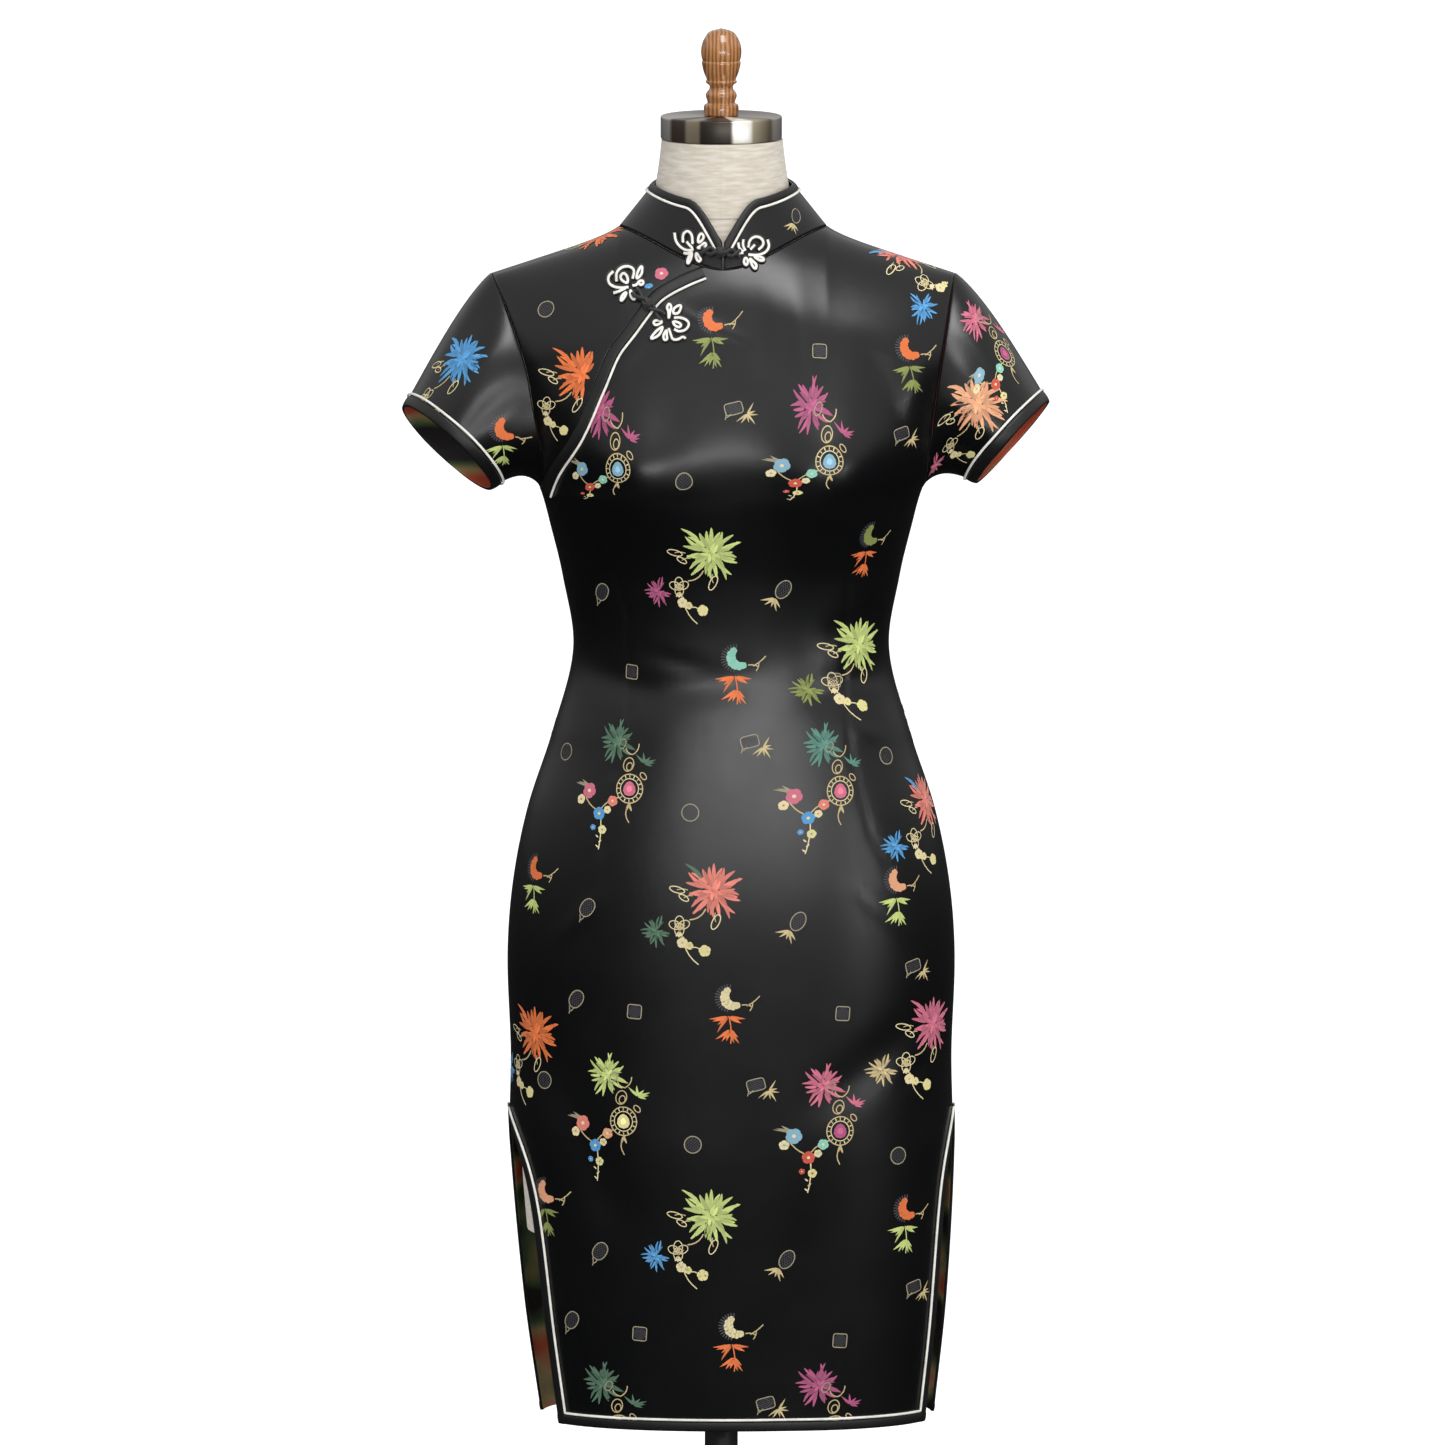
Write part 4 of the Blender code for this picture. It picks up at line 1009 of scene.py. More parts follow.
for side, word in ((LEFT, "left"), (RIGHT, "right")):
    mesh = strip_mesh(
        f"sleeve_band_{word}",
        lambda u, v: sleeve_edge(side, (0.5 + u) % 1.0, BINDING_WIDTH * v),
        sleeve_points,
        sleeve_normals,
        140,
        closed=True,
    )
    face_outwards(mesh, SLEEVE_CENTER[side])
    band = add_band(f"sleeve_band_{word}", mesh)
    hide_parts(f"sleeve_binding_{word}")
    spot = sleeve_edge(side, np.linspace(0, 1, 120, endpoint=False), PIPING_MARGIN)
    line = sleeve_points(*spot) + sleeve_normals(*spot) * PIPING_LIFT
    cord = piping(f"sleeve_edge_piping_{word}", line, cyclic=True)
    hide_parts(f"sleeve_piping_{word}")

# %% Hem and slit bands
SLIT_RISE = float(rise_of(SLIT_TOP))
SLIT_STEPS, HEM_STEPS = 70, 120


def slit_mesh(panel, side):
    """Band along one edge of a slit."""
    edge = side_edge(panel, side)

    def value(u, v):
        rise = mix(0.0, SLIT_RISE, u)
        return panel, inside_edge(panel, edge, side, rise, BINDING_WIDTH * v), rise

    return strip_mesh("slit", value, panel_points, panel_normals, 90)


def hem_mesh(panel):
    """Band along the hem between both slit edges, a touch under their bands."""
    left, right = side_edge(panel, LEFT), side_edge(panel, RIGHT)

    def value(u, v):
        rise = rise_of(HEM + BINDING_WIDTH * v)
        return panel, mix(left(rise), right(rise), u), rise

    return strip_mesh("hem", value, panel_points, lambda *spot: panel_normals(*spot) * 0.97, 220)


def hem_line(panel):
    """Line of the piping: down one slit, along the hem and up the other slit."""
    low = float(rise_of(HEM + PIPING_MARGIN))
    rises = np.linspace(SLIT_RISE, low, SLIT_STEPS)
    left, right = (
        inside_edge(panel, side_edge(panel, side), side, rises, PIPING_MARGIN)
        for side in (LEFT, RIGHT)
    )
    bottom = np.linspace(left[-1], right[-1], HEM_STEPS)[1:-1]
    across = np.concatenate([left, bottom, right[::-1]])
    rise = np.concatenate([rises, np.full(len(bottom), low), rises[::-1]])
    return panel_points(panel, across, rise) + panel_normals(panel, across, rise) * PIPING_LIFT


for panel, word in ((FRONT, "front"), (BACK, "back")):
    parts = [slit_mesh(panel, LEFT), slit_mesh(panel, RIGHT), hem_mesh(panel)]
    for mesh in parts:
        face_outwards(mesh, BODY_CENTER)
    band = add_band(f"{word}_hem_band", join_meshes(f"{word}_hem_band", parts))
    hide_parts(f"{word}_hem_binding")
    cord = piping(f"{word}_hem_cord", hem_line(panel))
    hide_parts(f"{word}_hem_piping")

# %% [markdown]
# ## Flowers of cord
#
# The closings are white cords sewn down in loops and curls on a wider black cord, which shows
# as a dark edge. Each flower is drawn flat, in points of 0.81 millimetre from its heart, with
# the corners of every line rounded off, and then laid on the collar or the chest.

# %% Cord shapes
POINT = 0.00081
# The lines of each flower; a line whose last point is its first one is a closed loop
FLOWER_LINES = {
    "neck_left": (
        ((-20, 15), (-19, 7), (-14, 1), (-7, -2), (-1, 0)), ((-11, -4), (-7, -5), (-2, -2)),
        ((-11.5, 6), (-12, 14), (-7, 18), (-2.5, 14), (-2, 5)), ((-8, 7), (-5.5, 4), (-2, 1)),
        ((3, 6), (4, 13), (7, 16), (9.5, 12), (7, 8), (3, 6)),
        ((2, 1), (6, 3), (10, 7), (12, 4), (9, 1.5), (2, 1)),
        ((1.5, -3), (1, -8), (4, -12.5), (6.5, -10), (4.5, -7), (1.5, -3)),
        ((-2, -3), (-6.5, -8), (-7.5, -15), (-4, -11), (-2, -3)),
    ),
    "neck_right": (
        ((2, 6), (3, 13), (9, 17), (16, 14), (17.5, 8), (12, 3.5)), ((4, 4), (8.5, 8.5)),
        ((21, 13), (23, 6.5), (20, 1), (12, -2), (2, -1)), ((-3, 14), (-3.5, 8), (-1, 3)),
        ((-8, 11), (-7.5, 5.5), (-3, 2)), ((-9, 0.5), (-3, 1)),
        ((-1, -3), (-3, -8), (0, -12), (2, -7), (-1, -3)),
        ((3, -4), (5, -10.5), (9, -15.5), (10.5, -11), (6.5, -7.5), (3, -4)),
        ((7, -2.5), (13, -7), (18, -7), (16, -4), (11, -3), (7, -2.5)),
    ),
    "chest_left": (
        ((-13, 4), (-13.5, 12), (-8, 17.5), (0, 18.5), (5, 15), (3, 7)),
        ((-1.5, 2), (-8, 5), (-9.5, 9), (-6, 12.5), (-2, 9), (-1.5, 2)),
        ((-16, 13), (-21, 9), (-21.5, 3), (-17, -1), (-8, -2), (-1, -1)),
        ((6.5, 7), (8, 14), (12.5, 20), (12.5, 12), (9, 8), (6.5, 7)),
        ((3, 0.5), (7, 1), (9.5, 5), (13, 5.5), (14, 3), (11.5, 1), (9.5, 2.5)),
        ((-16, -7), (-10, -5), (-4, -2)), ((-9, -15), (-8, -9), (-2.5, -5), (-5, -11), (-9, -15)),
        ((0.5, -3), (1, -10), (4.5, -13), (6, -10), (2.5, -6.5), (0.5, -3)),
    ),
    "chest_right": (
        ((1, 1), (1, 9), (-1, 13), (1.5, 17), (4, 14), (2.5, 9), (1, 1)),
        ((5, 7), (6.5, 13), (14, 16), (12.5, 10), (10, 7), (5, 7)),
        ((6.5, 3), (13, 3.5), (20, 0.5), (21.5, -4), (18, -9), (11, -10.5), (6.5, -8)),
        ((4.5, -0.5), (10, -1), (14, -3.5), (12, -6.5), (7.5, -5), (4.5, -0.5)),
        ((-4, -1), (-11, 1), (-14.5, -1.5), (-12, -5), (-4, -1)),
        ((-4.5, -5), (-12, -10.5), (-18, -18.5), (-9, -15), (-5.5, -9), (-4.5, -5)),
        ((-0.5, -8), (-4.5, -14), (-3.5, -19), (0, -18), (-1, -13.5), (-0.5, -8)),
        ((1, -7), (3, -12.5), (5, -18.5), (11, -18), (15, -15), (18, -17)),
    ),
}
FlowerPlace = namedtuple("FlowerPlace", "x z lift")
FLOWER_PLACES = {
    "neck_left": FlowerPlace(-0.0215, 1.4215, 0.0024),
    "neck_right": FlowerPlace(0.0202, 1.4180, 0.0022),
    "chest_left": FlowerPlace(-0.0738, 1.3922, 0.0018),
    "chest_right": FlowerPlace(-0.0432, 1.3660, 0.0024),
}
WHITE_CORD_RADIUS, BLACK_CORD_RADIUS = 0.00105, 0.00235
BLACK_CORD_SINK = 0.0012
BLACK_FLATNESS, WHITE_FLATNESS = 0.45, 0.75


def rounded(points):
    """A line of points with its corners cut off three times."""
    line = np.array(points, float)
    closed = bool((line[0] == line[-1]).all())
    for _ in range(3):
        first, second = line[:-1], line[1:]
        cut = np.empty((2 * len(first), 2))
        cut[0::2], cut[1::2] = mix(first, second, 0.25), mix(first, second, 0.75)
        line = np.vstack([cut, cut[:1]] if closed else [line[:1], cut, line[-1:]])
    return line


def collar_depth(x, z):
    share = np.full(x.shape, 0.5)
    for _ in range(12):
        half = mix(NECK_HALF, COLLAR_HALF, share)
        turn = np.arcsin(np.minimum(1.0, np.abs(x - NECK_MIDDLE) / half))
        low = neck_seam_points(turn)
        high = collar_top_points(turn)
        share = np.clip((z - low[..., 2]) / (high[..., 2] - low[..., 2]), 0, 1)
    return -mix(low, high, share[..., None])[..., 1]


def trim_depth(x, z):
    """Depth of the front under a flower, on the collar or on the chest."""
    x, z = np.asarray(x, float), np.asarray(z, float)
    on_collar = z > top_height(FRONT, x)
    return np.where(on_collar, collar_depth(x, z), cloth_depth(FRONT, x, z))


def lay_trim(mesh, lift, flatness):
    """Lay a flat drawing of cords on the collar or the chest, and press it flatter."""
    flat = np.array([vert.co for vert in mesh.vertices])
    depth = trim_depth(flat[:, 0], flat[:, 2]) + lift - flat[:, 1] * flatness
    for vert, forward in zip(mesh.vertices, depth):
        vert.co.y = -forward


for word, drawn in FLOWER_LINES.items():
    place = FLOWER_PLACES[word]
    lines = []
    for points in drawn:
        flat = rounded(points) * POINT + (place.x, place.z)
        lines.append([(x, 0.0, z) for x, z in flat])
    ground = cord_mesh("ground", lines, BLACK_CORD_RADIUS)
    lay_trim(ground, place.lift - BLACK_CORD_SINK, BLACK_FLATNESS)
    white = cord_mesh("white", lines, WHITE_CORD_RADIUS)
    lay_trim(white, place.lift, WHITE_FLATNESS)
    black_faces = len(ground.polygons)
    mesh = join_meshes(f"cord_flower_{word}", [ground, white])
    for face in mesh.polygons[black_faces:]:
        face.material_index = 1
    flower = add_piece(f"cord_flower_{word}", mesh, [black_cord, white_cord])
    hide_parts(f"flower_{word}")
    print(flower.name, len(lines), "lines of cord")

# %% [markdown]
# ## Loops and knots
#
# Two flowers are held together by a loop and a ball knot of black satin cord. The two strands
# twist round each other, and the knot is a cord wound three ways round a small ball.

# %% Knots
STRAND_RADIUS, STRAND_SWING = 0.0015, 0.0026
STRAND_START, STRAND_END = 0.12, 0.88
BALL = np.array((0.0034, 0.0021, 0.0034))


def knot_lines(first, last, turns):
    """Two twisted strands and the windings of the ball knot."""
    start = np.array((first.x, first.z))
    end = np.array((last.x, last.z))
    way = end - start
    aside = np.array((-way[1], way[0])) / np.hypot(*way)
    lift = max(first.lift, last.lift) + 0.0012
    share = np.linspace(STRAND_START, STRAND_END, 60)[:, None]
    lines = []
    for phase in (0.0, pi):
        swing = np.sin(2 * pi * turns * share + phase)
        flat = start + way * share + aside * STRAND_SWING * swing
        depth = trim_depth(flat[:, 0], flat[:, 1]) + lift
        depth += 0.0010 * np.cos(2 * pi * turns * share[:, 0] + phase)
        lines.append(np.stack([flat[:, 0], -depth, flat[:, 1]], axis=-1))
    heart = start + way * 0.5
    heart_y = -float(trim_depth(heart[0], heart[1])) - lift - 0.0006
    ball = np.linspace(0, 2 * pi, 40)
    for lean in (0.0, 60.0, 120.0):
        turn = radians(lean)
        ring = np.stack([np.cos(ball) * cos(turn), np.sin(ball), np.cos(ball) * sin(turn)], axis=-1)
        lines.append(ring * BALL + (heart[0], heart_y, heart[1]))
    return lines


for word, first, last, turns in (
    ("neck", "neck_left", "neck_right", 2.5),
    ("chest", "chest_left", "chest_right", 1.5),
):
    lines = knot_lines(FLOWER_PLACES[first], FLOWER_PLACES[last], turns)
    name = f"loop_and_knot_{word}"
    knot = add_piece(name, cord_mesh(name, lines, STRAND_RADIUS), [black_cord])
    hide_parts(f"knot_{word}")
print("two loops with knots")

# %% [markdown]
# ## The form under the dress
#
# The linen body, its metal neck cap, the turned finial and the pole are solids of revolution
# or ovals. A turned piece is a profile, half of its outline, spun once round its axis.

# %% Form materials
linen, shader, tree = new_material("linen_cover", (0.58, 0.52, 0.44), 0.9)
shader.inputs["Sheen Weight"].default_value = 0.2
weave = multiply(tree, wave(tree, 0, 560.0, 0.6), wave(tree, 90, 560.0, 0.6))
slubs = noise(tree, object_coords(tree, (60, 60, 420)), 1.0, 3.0)
woven_tone = color_ramp(tree, slubs, ((0.35, (0.50, 0.44, 0.36)), (0.65, (0.62, 0.57, 0.49))))
tree.links.new(woven_tone, shader.inputs["Base Color"])
add_bump(tree, shader, weave, 0.35, COARSE_BUMP)

# Painted reflection: the bronze's colour gets upright bands of light and dark tone that stand in
# for the studio it reflects: share of a turn, tone
bronze, shader, tree = new_material("brushed_bronze", (0.50, 0.44, 0.38), 0.3, 0.55)
PAINTED_REFLECTION_BANDS = (
    (0.000, (0.36, 0.34, 0.32)),
    (0.085, (0.36, 0.34, 0.32)),
    (0.100, (0.060, 0.042, 0.034)),
    (0.145, (0.060, 0.042, 0.034)),
    (0.155, (0.26, 0.22, 0.16)),
    (0.188, (0.22, 0.18, 0.12)),
    (0.196, (0.030, 0.024, 0.018)),
    (0.276, (0.045, 0.038, 0.028)),
    (0.284, (0.95, 0.92, 0.84)),
    (0.330, (0.95, 0.92, 0.84)),
    (0.338, (0.42, 0.36, 0.25)),
    (0.400, (0.12, 0.09, 0.06)),
    (0.415, (0.30, 0.28, 0.26)),
    (0.700, (0.16, 0.14, 0.12)),
    (1.000, (0.36, 0.34, 0.32)),
)
angle = add_node(tree, "TexGradient", links={"Vector": object_coords(tree)})
angle.gradient_type = "RADIAL"
# The painted reflection bands set the cap's base colour by the angle round its upright axis
tree.links.new(color_ramp(tree, angle.outputs["Fac"], PAINTED_REFLECTION_BANDS), shader.inputs["Base Color"])
brushed = noise(tree, object_coords(tree, (30, 30, 900)), 1.0, 3.0)
tree.links.new(spread(tree, brushed, 0.26, 0.42), shader.inputs["Roughness"])
add_bump(tree, shader, brushed, 0.12, FINE_BUMP)

wood, shader, tree = new_material("varnished_wood", (0.30, 0.13, 0.045), 0.32)
shader.inputs["Coat Weight"].default_value = 0.5
shader.inputs["Coat Roughness"].default_value = 0.12
grain = wave(tree, 0, 95.0, 5.0, (1, 1, 0.12))
grained = color_ramp(tree, grain, ((0.1, (0.20, 0.075, 0.022)), (0.9, (0.42, 0.19, 0.065))))
tree.links.new(grained, shader.inputs["Base Color"])
pores = noise(tree, object_coords(tree, (900, 900, 60)), 1.0, 2.0)
add_bump(tree, shader, pores, 0.08, FINE_BUMP)

enamel, shader, tree = new_material("black_enamel", (0.018, 0.018, 0.020), 0.38, 0.3)
speckle = noise(tree, object_coords(tree), 160.0, 4.0)
tree.links.new(spread(tree, speckle, 0.30, 0.46), shader.inputs["Roughness"])
add_bump(tree, shader, speckle, 0.05, FINE_BUMP)
print("form materials:", linen.name, bronze.name, wood.name, enamel.name)

# %% Turned pieces


def turned(name, profile, steps, look, bevel=0.0):
    """Spin a profile of (radius, height) once round the upright axis."""
    shape = bmesh.new()
    chain = [shape.verts.new((radius, 0.0, height)) for radius, height in profile]
    edges = [shape.edges.new(pair) for pair in zip(chain, chain[1:])]
    if bevel:
        bmesh.ops.bevel(
            shape,
            geom=chain[1:-1],
            offset=bevel,
            segments=3,
            profile=0.5,
            affect="VERTICES",
            material=-1,
        )
    bmesh.ops.spin(
        shape,
        geom=shape.verts[:] + shape.edges[:],
        cent=(0, 0, 0),
        axis=(0, 0, 1),
        angle=2 * pi,
        steps=steps,
        use_merge=True,
    )
    bmesh.ops.remove_doubles(shape, verts=shape.verts, dist=1e-6)
    bmesh.ops.recalc_face_normals(shape, faces=shape.faces)
    mesh = bpy.data.meshes.new(name)
    shape.to_mesh(mesh)
    shape.free()
    mesh.shade_smooth()
    mesh.set_sharp_from_angle(angle=radians(40))
    print(name, len(mesh.polygons), "faces")
    return add_piece(name, mesh, [look])


def rod(radius, top, bottom):
    """Profile of a plain round bar."""
    return (0.0, top), (radius, top), (radius, bottom), (0.0, bottom)


CAP_BOTTOM, CAP_TOP, CAP_RADIUS = 1.5044, 1.523, 0.049
profile = rod(CAP_RADIUS, CAP_TOP, CAP_BOTTOM)
cap = turned("neck_cap", profile, 128, bronze, bevel=0.0014)
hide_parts("form_cap")

# %% Finial
Turn = namedtuple("Turn", "height radius")
FINIAL = rows_of(Turn, (
    (0.0000, 0.0134), (0.0010, 0.0139), (0.0085, 0.0136), (0.0100, 0.0112), (0.0120, 0.0114),
    (0.0155, 0.0125), (0.0185, 0.0119), (0.0215, 0.0096), (0.0245, 0.0098), (0.0262, 0.0122),
    (0.0276, 0.0126), (0.0288, 0.0117), (0.0345, 0.0139), (0.0400, 0.0153), (0.0432, 0.0157),
    (0.0445, 0.0151), (0.0460, 0.0157), (0.0510, 0.0163), (0.0570, 0.0157), (0.0630, 0.0132),
    (0.0680, 0.0088), (0.0705, 0.0000),
))
FINIAL_FOOT = CAP_TOP + SEAM
levels = np.linspace(0, FINIAL[-1].height, 90)
radii = np.maximum(0.0, read(FINIAL, "radius", levels))
radii[-1] = 0.0
profile = [(0.0, FINIAL_FOOT)]
profile += [(float(r), float(FINIAL_FOOT + h)) for r, h in zip(radii, levels)]
finial = turned("turned_finial", profile, 72, wood)
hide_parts("form_finial")

# %% Pole and base
TORSO_BOTTOM = 0.615
POLE_RADIUS, BASE_RADIUS, BASE_TOP = 0.0135, 0.18, 0.020
profile = rod(POLE_RADIUS, TORSO_BOTTOM - SEAM, BASE_TOP + SEAM)
pole = turned("stand_pole", profile, 64, enamel, bevel=0.0006)
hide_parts("form_pole")
profile = (
    (0.0, BASE_TOP),
    (0.030, BASE_TOP),
    (0.034, BASE_TOP - 0.004),
    (BASE_RADIUS - 0.020, BASE_TOP - 0.009),
    (BASE_RADIUS - 0.004, BASE_TOP - 0.012),
    (BASE_RADIUS, BASE_TOP - 0.015),
    (BASE_RADIUS, 0.0),
    (0.0, 0.0),
)
base = turned("stand_base", profile, 128, enamel, bevel=0.0008)
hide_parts("form_base")

# %% [markdown]
# ## Linen body and neck
#
# The cloth hides most of the form, so its plain body stays as it is and only gets the linen
# finish. The neck shows above the collar: it is a stack of ovals, finer than the solid, with
# the seam that runs down the middle of its front.

# %% Linen neck
Neck = namedtuple("Neck", "height half_width half_depth")
NECK = rows_of(Neck, (
    (1.4440, 0.0590, 0.0530), (1.4560, 0.0545, 0.0518), (1.4700, 0.0528, 0.0512),
    (1.4870, 0.0503, 0.0498), (1.5041, 0.0484, 0.0484),
))
NECK_COVER = 0.0005
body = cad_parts["form_torso"]
for slot_number in range(len(body.material_slots)):
    body.material_slots[slot_number].material = linen


def neck_points(u, v):
    """Ovals of the neck with a fine raised seam in front."""
    height = mix(NECK[0].height + 0.001, NECK[-1].height - 0.0002, v)
    turn = 2 * pi * u + pi
    seam = 0.0005 * np.exp(-((np.sin(turn) / 0.018) ** 2)) * (np.cos(turn) > 0)
    wide = read(NECK, "half_width", height) + NECK_COVER
    deep = read(NECK, "half_depth", height) + NECK_COVER + seam
    x = NECK_MIDDLE * 0.5 + wide * np.sin(turn)
    return np.stack([x, -deep * np.cos(turn), height], axis=-1)


mesh = grid_mesh("linen_neck", 240, 30, neck_points, closed=True)
face_outwards(mesh, (0.0, 0.0, 1.48))
neck = add_piece("linen_neck", mesh, [linen])
print("linen neck", len(mesh.polygons), "faces")

# %% [markdown]
# ## The woven pattern
#
# Brocade has its figures woven in coloured silk on the black ground: chrysanthemum sprays,
# medallions on flowering twigs, small fans of blossom over bamboo leaves, and thin outlines
# of seals. Each figure is drawn flat first, petal by petal and thread by thread, in points of
# 0.81 millimetre with y upwards. A petal starts as a circle that is drawn out, and a line of
# thread is a chain of edges that is widened sideways.

# %% Threads and strokes
THREADS = {
    "coral": (0.68, 0.19, 0.14),
    "pink": (0.55, 0.13, 0.20),
    "magenta": (0.38, 0.07, 0.17),
    "orange": (0.70, 0.15, 0.03),
    "light_green": (0.47, 0.56, 0.17),
    "dark_green": (0.07, 0.15, 0.09),
    "teal": (0.08, 0.22, 0.17),
    "blue": (0.07, 0.28, 0.55),
    "light_blue": (0.20, 0.38, 0.48),
    "yellow": (0.68, 0.61, 0.26),
    "gold": (0.52, 0.41, 0.20),
    "cream": (0.70, 0.60, 0.33),
    "peach": (0.70, 0.33, 0.17),
    "olive": (0.22, 0.26, 0.06),
    "aqua": (0.24, 0.55, 0.42),
    "red": (0.55, 0.07, 0.04),
    "dim_gold": (0.31, 0.27, 0.17),
    "smoke": (0.040, 0.040, 0.048),
}


def dye(shape, faces, thread, shade=1.0):
    """Colour faces with a thread."""
    layer = shape.loops.layers.float_color["thread"]
    color = tuple(part * shade for part in THREADS[thread])
    for face in faces:
        for loop in face.loops:
            loop[layer] = (*color, 1.0)


def petal(shape, start, turn, length, width, thread, bend=0.0, level=0.0, taper=0.5, shade=1.0):
    """A petal that leaves its start in a direction, in degrees from up."""
    circle = bmesh.ops.create_circle(shape, cap_ends=True, radius=1.0, segments=10)["verts"]
    angle = radians(turn)
    for vert in circle:
        along = (1 + vert.co.y) / 2
        aside = vert.co.x * width / 2 * (1.2 - taper * along) + bend * length * along**2
        along *= length
        vert.co.x = start[0] + aside * cos(angle) + along * sin(angle)
        vert.co.y = start[1] + along * cos(angle) - aside * sin(angle)
        vert.co.z = level
    dye(shape, circle[0].link_faces, thread, shade)


def outline(shape, middle, size, turn, line, thread, filling=None, squareness=1.0, level=0.0):
    """The outline of an oval, or of a soft tablet where squareness is small."""
    circle = bmesh.ops.create_circle(shape, cap_ends=True, radius=1.0, segments=24)["verts"]
    angle = radians(turn)
    for vert in circle:
        wide = abs(vert.co.x) ** squareness * (1 if vert.co.x > 0 else -1) * size[0] / 2
        high = abs(vert.co.y) ** squareness * (1 if vert.co.y > 0 else -1) * size[1] / 2
        vert.co.x = middle[0] + wide * cos(angle) + high * sin(angle)
        vert.co.y = middle[1] + high * cos(angle) - wide * sin(angle)
        vert.co.z = level
    face = circle[0].link_faces[0]
    rim = bmesh.ops.inset_region(shape, faces=[face], thickness=line, use_boundary=True)["faces"]
    dye(shape, rim, thread)
    if filling:
        dye(shape, [face], filling)
    else:
        bmesh.ops.delete(shape, geom=[face], context="FACES")


def stroke(shape, points, width, thread, level=0.0, shade=1.0):
    """A line of thread through some points."""
    path = np.array(points, float)
    ways = np.gradient(path, axis=0)
    sides = np.stack([-ways[:, 1], ways[:, 0]], axis=-1)
    sides *= width / 2 / np.linalg.norm(sides, axis=1, keepdims=True)
    chain = [shape.verts.new((*place, level)) for place in path - sides]
    edges = [shape.edges.new(pair) for pair in zip(chain, chain[1:])]
    made = bmesh.ops.extrude_edge_only(shape, edges=edges)["geom"]
    far = [item for item in made if isinstance(item, bmesh.types.BMVert)]
    for vert, place in zip(far, path + sides):
        vert.co = (*place, level)
    dye(shape, [item for item in made if isinstance(item, bmesh.types.BMFace)], thread, shade)


def bow(start, end, bulge, steps=6):
    """Points of a bowed line."""
    share = np.linspace(0, 1, steps)[:, None]
    start, end = np.array(start, float), np.array(end, float)
    way = end - start
    side = np.array((-way[1], way[0]))
    return start + way * share + side * bulge * 4 * share * (1 - share)


# %% Flowers, leaves and seals


def mum(shape, x, y, radius, thread, second, first=0.0, last=360.0, petals=20):
    """A chrysanthemum: thin curling petals in three rings."""
    rings = (
        (0.34, 1.00, petals, thread, 1.0),
        (0.16, 0.70, petals * 3 // 4, second, 0.80),
        (0.00, 0.36, 7, thread, 1.15),
    )
    for level, (share, reach, count, color, shade) in enumerate(rings):
        for number in range(count):
            turn = first + (last - first) * (number + 0.5 * (level % 2)) / count
            turn += 5 * sin(3.7 * number + x)
            length = radius * (reach - share) * (1 + 0.20 * sin(5.1 * number + level + x))
            angle = radians(turn)
            root = (x + radius * share * sin(angle), y + radius * share * cos(angle))
            bend = 0.30 * sin(2.3 * number + level + y)
            petal(
                shape, root, turn, length, radius * 0.15, color, bend, level * 0.07,
                shade=shade * (1 + 0.14 * sin(1.9 * number)),
            )


def blossom(shape, x, y, radius, thread, heart="cream", level=0.14):
    """A small flower of five round petals."""
    for number in range(5):
        turn = 72 * number + 20 + 3 * x
        petal(shape, (x, y), turn, radius, radius * 0.80, thread, 0.0, level, taper=-0.35)
    small = radius * 0.45
    petal(shape, (x, y - radius * 0.22), 0, small, small, heart, 0.0, level + 0.06, 0.2)


def rose(shape, x, y, radius):
    """A round bud with outlined petals."""
    petals = ((-70, 0.45, 1.15), (0, 0.40, 1.25), (65, 0.45, 1.15), (180, 0.25, 1.30))
    for turn, away, size in petals:
        place = (x + radius * away * sin(radians(turn)), y + radius * away * cos(radians(turn)))
        size *= radius
        outline(shape, place, (size * 0.72, size), turn, 0.9, "cream", level=0.05)
    for turn in (-32, 8, 40):
        petal(shape, (x, y - radius * 0.35), turn, radius * 0.75, 2.2, "gold", 0.1, 0.10)
    for turn in (150, 185, 215):
        petal(shape, (x, y - radius * 0.45), turn, radius * 0.55, 2.6, "cream", 0.0, 0.10)


def leaves(shape, x, y, turns, length, width, thread):
    """A spray of narrow leaves from one point."""
    for number, turn in enumerate(turns):
        size = length * (1 - 0.16 * (number % 3))
        petal(
            shape, (x, y), turn, size, width, thread, 0.12 * sin(turn), 0.02 * (number % 2),
            taper=1.0, shade=1 + 0.12 * sin(turn),
        )


def hatch(shape, x, y, wide, high, turn, thread="smoke"):
    """Crossed threads inside an outline."""
    angle = radians(turn)
    for slope in (1, -1):
        for step in range(-3, 4):
            offset = step / 3.6
            half = sqrt(1 - offset**2) * 0.86
            ends = []
            for end in (-half, half):
                u = (offset + slope * end) / 1.5 * wide / 2
                v = (slope * -offset + end) / 1.5 * high / 2
                over, up = u * cos(angle) + v * sin(angle), v * cos(angle) - u * sin(angle)
                ends.append((x + over, y + up))
            stroke(shape, ends, 0.7, thread)


def seal(shape, size, turn, squareness, tick):
    """A hatched seal in thin gold outline, with a tick at its foot."""
    hatch(shape, 0, 0, size[0], size[1], turn)
    outline(shape, (0, 0), size, turn, 1.0, "dim_gold", squareness=squareness, level=0.05)
    if tick:
        low = -size[1] / 2
        stroke(shape, bow((tick * 3, low + 1), (tick * 8, low - 3), 0.1, 4), 1.0, "dim_gold")
        stroke(shape, bow((tick * 8, low + 3), (tick * 8.5, low - 5), 0.1, 4), 1.0, "dim_gold")


# %% The drawings


def strokes(shape, rows):
    """Bowed threads, from rows of start, end, bulge, width and thread."""
    for start, end, bulge, width, thread in rows:
        stroke(shape, bow(start, end, bulge), width, thread)


def blossoms(shape, rows):
    """Small flowers, from rows of x, y, radius, thread and heart."""
    for row in rows:
        blossom(shape, *row)


